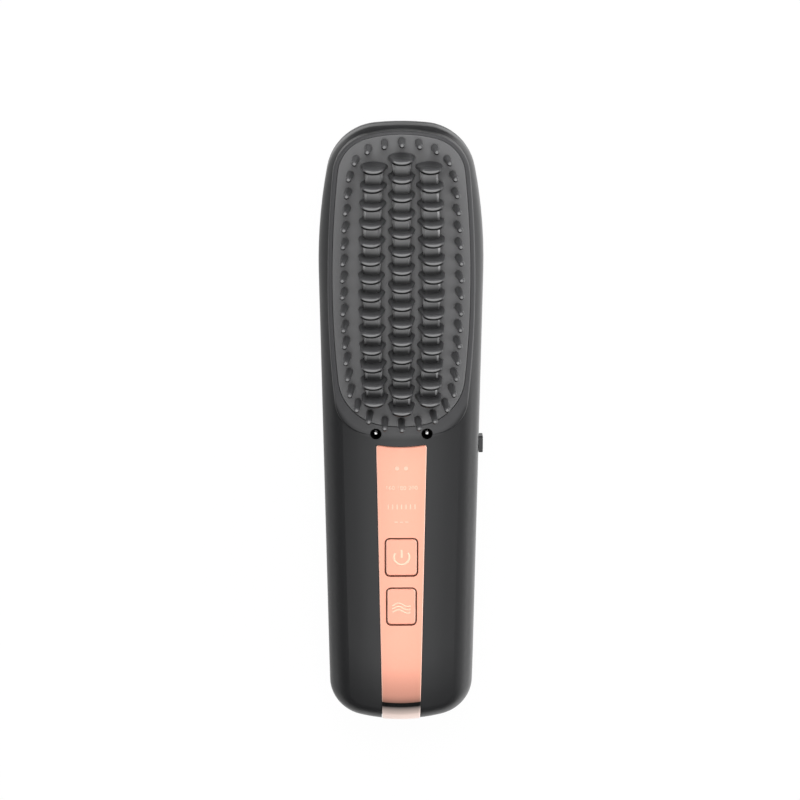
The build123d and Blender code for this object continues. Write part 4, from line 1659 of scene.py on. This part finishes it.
@dataclass
class Studio:
    """A pale floor, soft lamps for matt surfaces, a light tent and cards for mirrors, and the camera.

    Attributes:
        aim: The point that the camera looks at.
        distance: Its distance from that point.
        tilt: How far it leans towards the head, in degrees.
        side_step: How far it stands to the left of that point.
        lens: Its focal length, in millimetres on a 36 mm sensor.
        floor_size: Side of the floor.
        floor_colour: Its colour.
        floor_drop: How far the floor lies below the comb's back, so that they share no plane.
        white_share: How much of the floor's look is plain white.
        fill: Brightness of the surroundings as a lamp.
        lamps: The lamps; only matt surfaces see them.
        cards: The cards on the floor.
        card_height: Height of the cards above the floor.
        tent_radius: Radius of the tent.
        tent_peak: Brightness that its ramps' 1 stands for.
        across: Brightness at angles from straight up towards +X, in degrees.
        along: Share of that at angles towards +Y.
    """

    aim: Point = (-0.3 * MM, 9.74 * MM, 14.0 * MM)
    distance: float = 880 * MM
    tilt: float = 16.5
    side_step: float = 12.2 * MM
    lens: float = 117.0
    floor_size: float = 6.0
    floor_colour: Colour = (0.9, 0.9, 0.9)
    floor_drop: float = 0.02 * MM
    white_share: float = 0.97
    fill: float = 0.45
    lamps: tuple[Lamp, ...] = (
        Lamp("overhead_lamp", (0.0, 0.1, 1.1), 0.5, 0.9, 1.8),
        Lamp("right_lamp", (1.5, -0.35, 0.42), 0.8, 1.6, 4.5),
        Lamp("left_lamp", (-1.3, -0.3, 0.4), 0.7, 1.2, 1.5),
        Lamp("head_lamp", (0.0, 1.1, 1.0), 1.0, 0.8, 9.0),
    )
    cards: tuple[Card, ...] = (
        Card("right_card", (0.034, -0.4), (0.6, 0.4), 1.5),
        Card("left_card", (-0.6, -0.4), (-0.033, 0.4), 0.7),
        Card("head_card", (-0.033, 0.109), (0.034, 0.5), 0.2),
    )
    card_height: float = 0.4 * MM
    tent_radius: float = 2.8
    tent_peak: float = 3.0
    across: Stops = (
        (-90, 0.75), (-74, 0.45), (-58, 0.2), (-22, 0.15), (-14, 1.2), (-8, 2.1), (8, 2.1),
        (13, 1.5), (22, 0.42), (38, 0.5), (58, 0.85), (72, 1.15), (82, 1.8), (90, 3.0),
    )
    along: Stops = (
        (-90, 0.03), (-62, 0.03), (-46, 0.4), (-28, 1.0), (12, 1.0), (26, 0.5), (45, 0.3), (90, 0.15),
    )

    def build(self) -> None:
        """Builds the whole studio."""
        self._camera()
        self._floor()
        self._world()
        for lamp in self.lamps:
            self._lamp(lamp)
        for card in self.cards:
            self._card(card)
        self._tent()
        bpy.context.scene.view_settings.view_transform = "Standard"

    def _camera(self) -> None:
        """Adds the camera."""
        lean = math.radians(self.tilt)
        data = bpy.data.cameras.new("camera")
        data.lens = self.lens
        data.clip_end = 20.0
        camera = bpy.data.objects.new("camera", data)
        aim = Vector(self.aim)
        back = self.distance * Vector((0.0, math.sin(lean), math.cos(lean)))
        camera.matrix_world = facing(aim + back - Vector((self.side_step, 0.0, 0.0)), aim)
        bpy.context.scene.collection.objects.link(camera)
        bpy.context.scene.camera = camera

    def _seen_white(self, bench: Bench) -> Value:
        """Tells the rays that see the surroundings as plain white.

        Args:
            bench: The bench of the floor or the world.

        Returns:
            1 for rays from the camera, a mirror or glass, else 0.
        """
        path = bench.node("ShaderNodeLightPath")
        seen = path["Is Camera Ray"] + path["Is Glossy Ray"] + path["Is Transmission Ray"]
        return seen.clamped()

    def _floor(self) -> None:
        """Adds the pale floor, which shows white and keeps a faint shadow."""
        half = self.floor_size / 2
        mesh = level_sheet("floor", (-half, -half), (half, half), -self.floor_drop)
        floor = bpy.data.objects.new("floor", mesh)
        bpy.context.scene.collection.objects.link(floor)
        material = bpy.data.materials.new("floor_paper")
        bench = cleared(material)
        matt = bench.node("ShaderNodeBsdfDiffuse", inputs={"Color": opaque(self.floor_colour)})
        white = bench.node("ShaderNodeEmission", inputs={"Color": opaque(WHITE), "Strength": 1.0})
        factor = self._seen_white(bench) * self.white_share
        mixed = bench.node("ShaderNodeMixShader", inputs={0: factor, 1: matt[0], 2: white[0]})
        bench.node("ShaderNodeOutputMaterial", inputs={"Surface": mixed[0]})
        mesh.materials.append(material)

    def _world(self) -> None:
        """Adds surroundings that show white and light softly."""
        world = bpy.data.worlds.new("surroundings")
        bench = cleared(world)
        soft = bench.node("ShaderNodeBackground", inputs={"Color": opaque(WHITE), "Strength": self.fill})
        white = bench.node("ShaderNodeBackground", inputs={"Color": opaque(WHITE), "Strength": 1.0})
        factor = self._seen_white(bench)
        mixed = bench.node("ShaderNodeMixShader", inputs={0: factor, 1: soft[0], 2: white[0]})
        bench.node("ShaderNodeOutputWorld", inputs={"Surface": mixed[0]})
        bpy.context.scene.world = world

    def _lamp(self, lamp: Lamp) -> None:
        """Adds an area lamp whose face has the lamp's brightness.

        Args:
            lamp: The lamp.
        """
        data = bpy.data.lights.new(lamp.name, "AREA")
        data.shape = "RECTANGLE"
        data.size = lamp.width
        data.size_y = lamp.length
        data.energy = lamp.level * math.pi * lamp.width * lamp.length
        stand = bpy.data.objects.new(lamp.name, data)
        stand.matrix_world = facing(Vector(lamp.place), Vector(self.aim))
        stand.visible_glossy = False
        bpy.context.scene.collection.objects.link(stand)

    def _card(self, card: Card) -> None:
        """Lays a card on the floor.

        Args:
            card: The card.
        """
        mesh = level_sheet(card.name, card.low, card.high, self.card_height)
        bench, made = self._stage_for_mirrors(card.name, mesh)
        face = bench.node("ShaderNodeEmission", inputs={"Color": opaque(WHITE), "Strength": card.level})
        bench.node("ShaderNodeOutputMaterial", inputs={"Surface": face[0]})

    def _tent(self) -> None:
        """Adds the tent of soft light that only mirror-like surfaces see."""
        mesh = bpy.data.meshes.new("light_tent")
        shell = bmesh.new()
        bmesh.ops.create_uvsphere(shell, u_segments=64, v_segments=32, radius=self.tent_radius)
        shell.to_mesh(mesh)
        shell.free()
        bench, tent = self._stage_for_mirrors("light_tent", mesh)
        parts = bench.node("ShaderNodeSeparateXYZ", inputs={0: bench.node("ShaderNodeTexCoord")["Object"]})
        across = self._tent_ramp(bench, parts[0].math("ARCTAN2", parts[2]), self.across, self.tent_peak)
        along = self._tent_ramp(bench, (parts[1] / self.tent_radius).math("ARCSINE"), self.along, 1.0)
        both = bench.node(
            "ShaderNodeMix",
            {"data_type": "RGBA", "blend_type": "MULTIPLY"},
            {0: 1.0, 6: across, 7: along},
        )[2]
        cloth = bench.node("ShaderNodeEmission", inputs={"Color": both, "Strength": self.tent_peak})
        bench.node("ShaderNodeOutputMaterial", inputs={"Surface": cloth[0]})

    def _stage_for_mirrors(self, name: str, mesh: bpy.types.Mesh) -> tuple[Bench, bpy.types.Object]:
        """Adds a stage object that only mirror-like surfaces see.

        Args:
            name: The object's name.
            mesh: Its mesh.

        Returns:
            The bench of its empty material, and the object.
        """
        made = bpy.data.objects.new(name, mesh)
        made.visible_camera = False
        made.visible_diffuse = False
        made.visible_transmission = False
        made.visible_shadow = False
        bpy.context.scene.collection.objects.link(made)
        material = bpy.data.materials.new(name + "_cloth")
        mesh.materials.append(material)
        return cleared(material), made

    def _tent_ramp(self, bench: Bench, turn: Value, stops: Stops, peak: float) -> Value:
        """A ramp over an angle.

        Args:
            bench: The tent's bench.
            turn: The angle, in radians, from -90 to 90 degrees.
            stops: Angles in degrees and brightnesses.
            peak: The brightness that counts as 1.

        Returns:
            The ramp's grey.
        """
        places = [(degrees / 180 + 0.5, level / peak) for degrees, level in stops]
        return bench.node("ShaderNodeValToRGB", {"stops": places}, {0: turn / math.pi + 0.5})[0]


# ---------------------------------------------------------------- main


def main() -> None:
    """Builds the comb's looks around the frame."""
    logging.basicConfig(level=logging.INFO, format="%(name)s: %(message)s")
    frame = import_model()
    shop = Workshop(frame["nodes"])
    shop.dress_nodes()
    for part in (CombHead(shop), ButtonSymbols(shop), PanelMarks(shop), Studio()):
        part.build()
        LOG.info("finished %s", type(part).__name__)


if __name__ == "__main__":
    main()
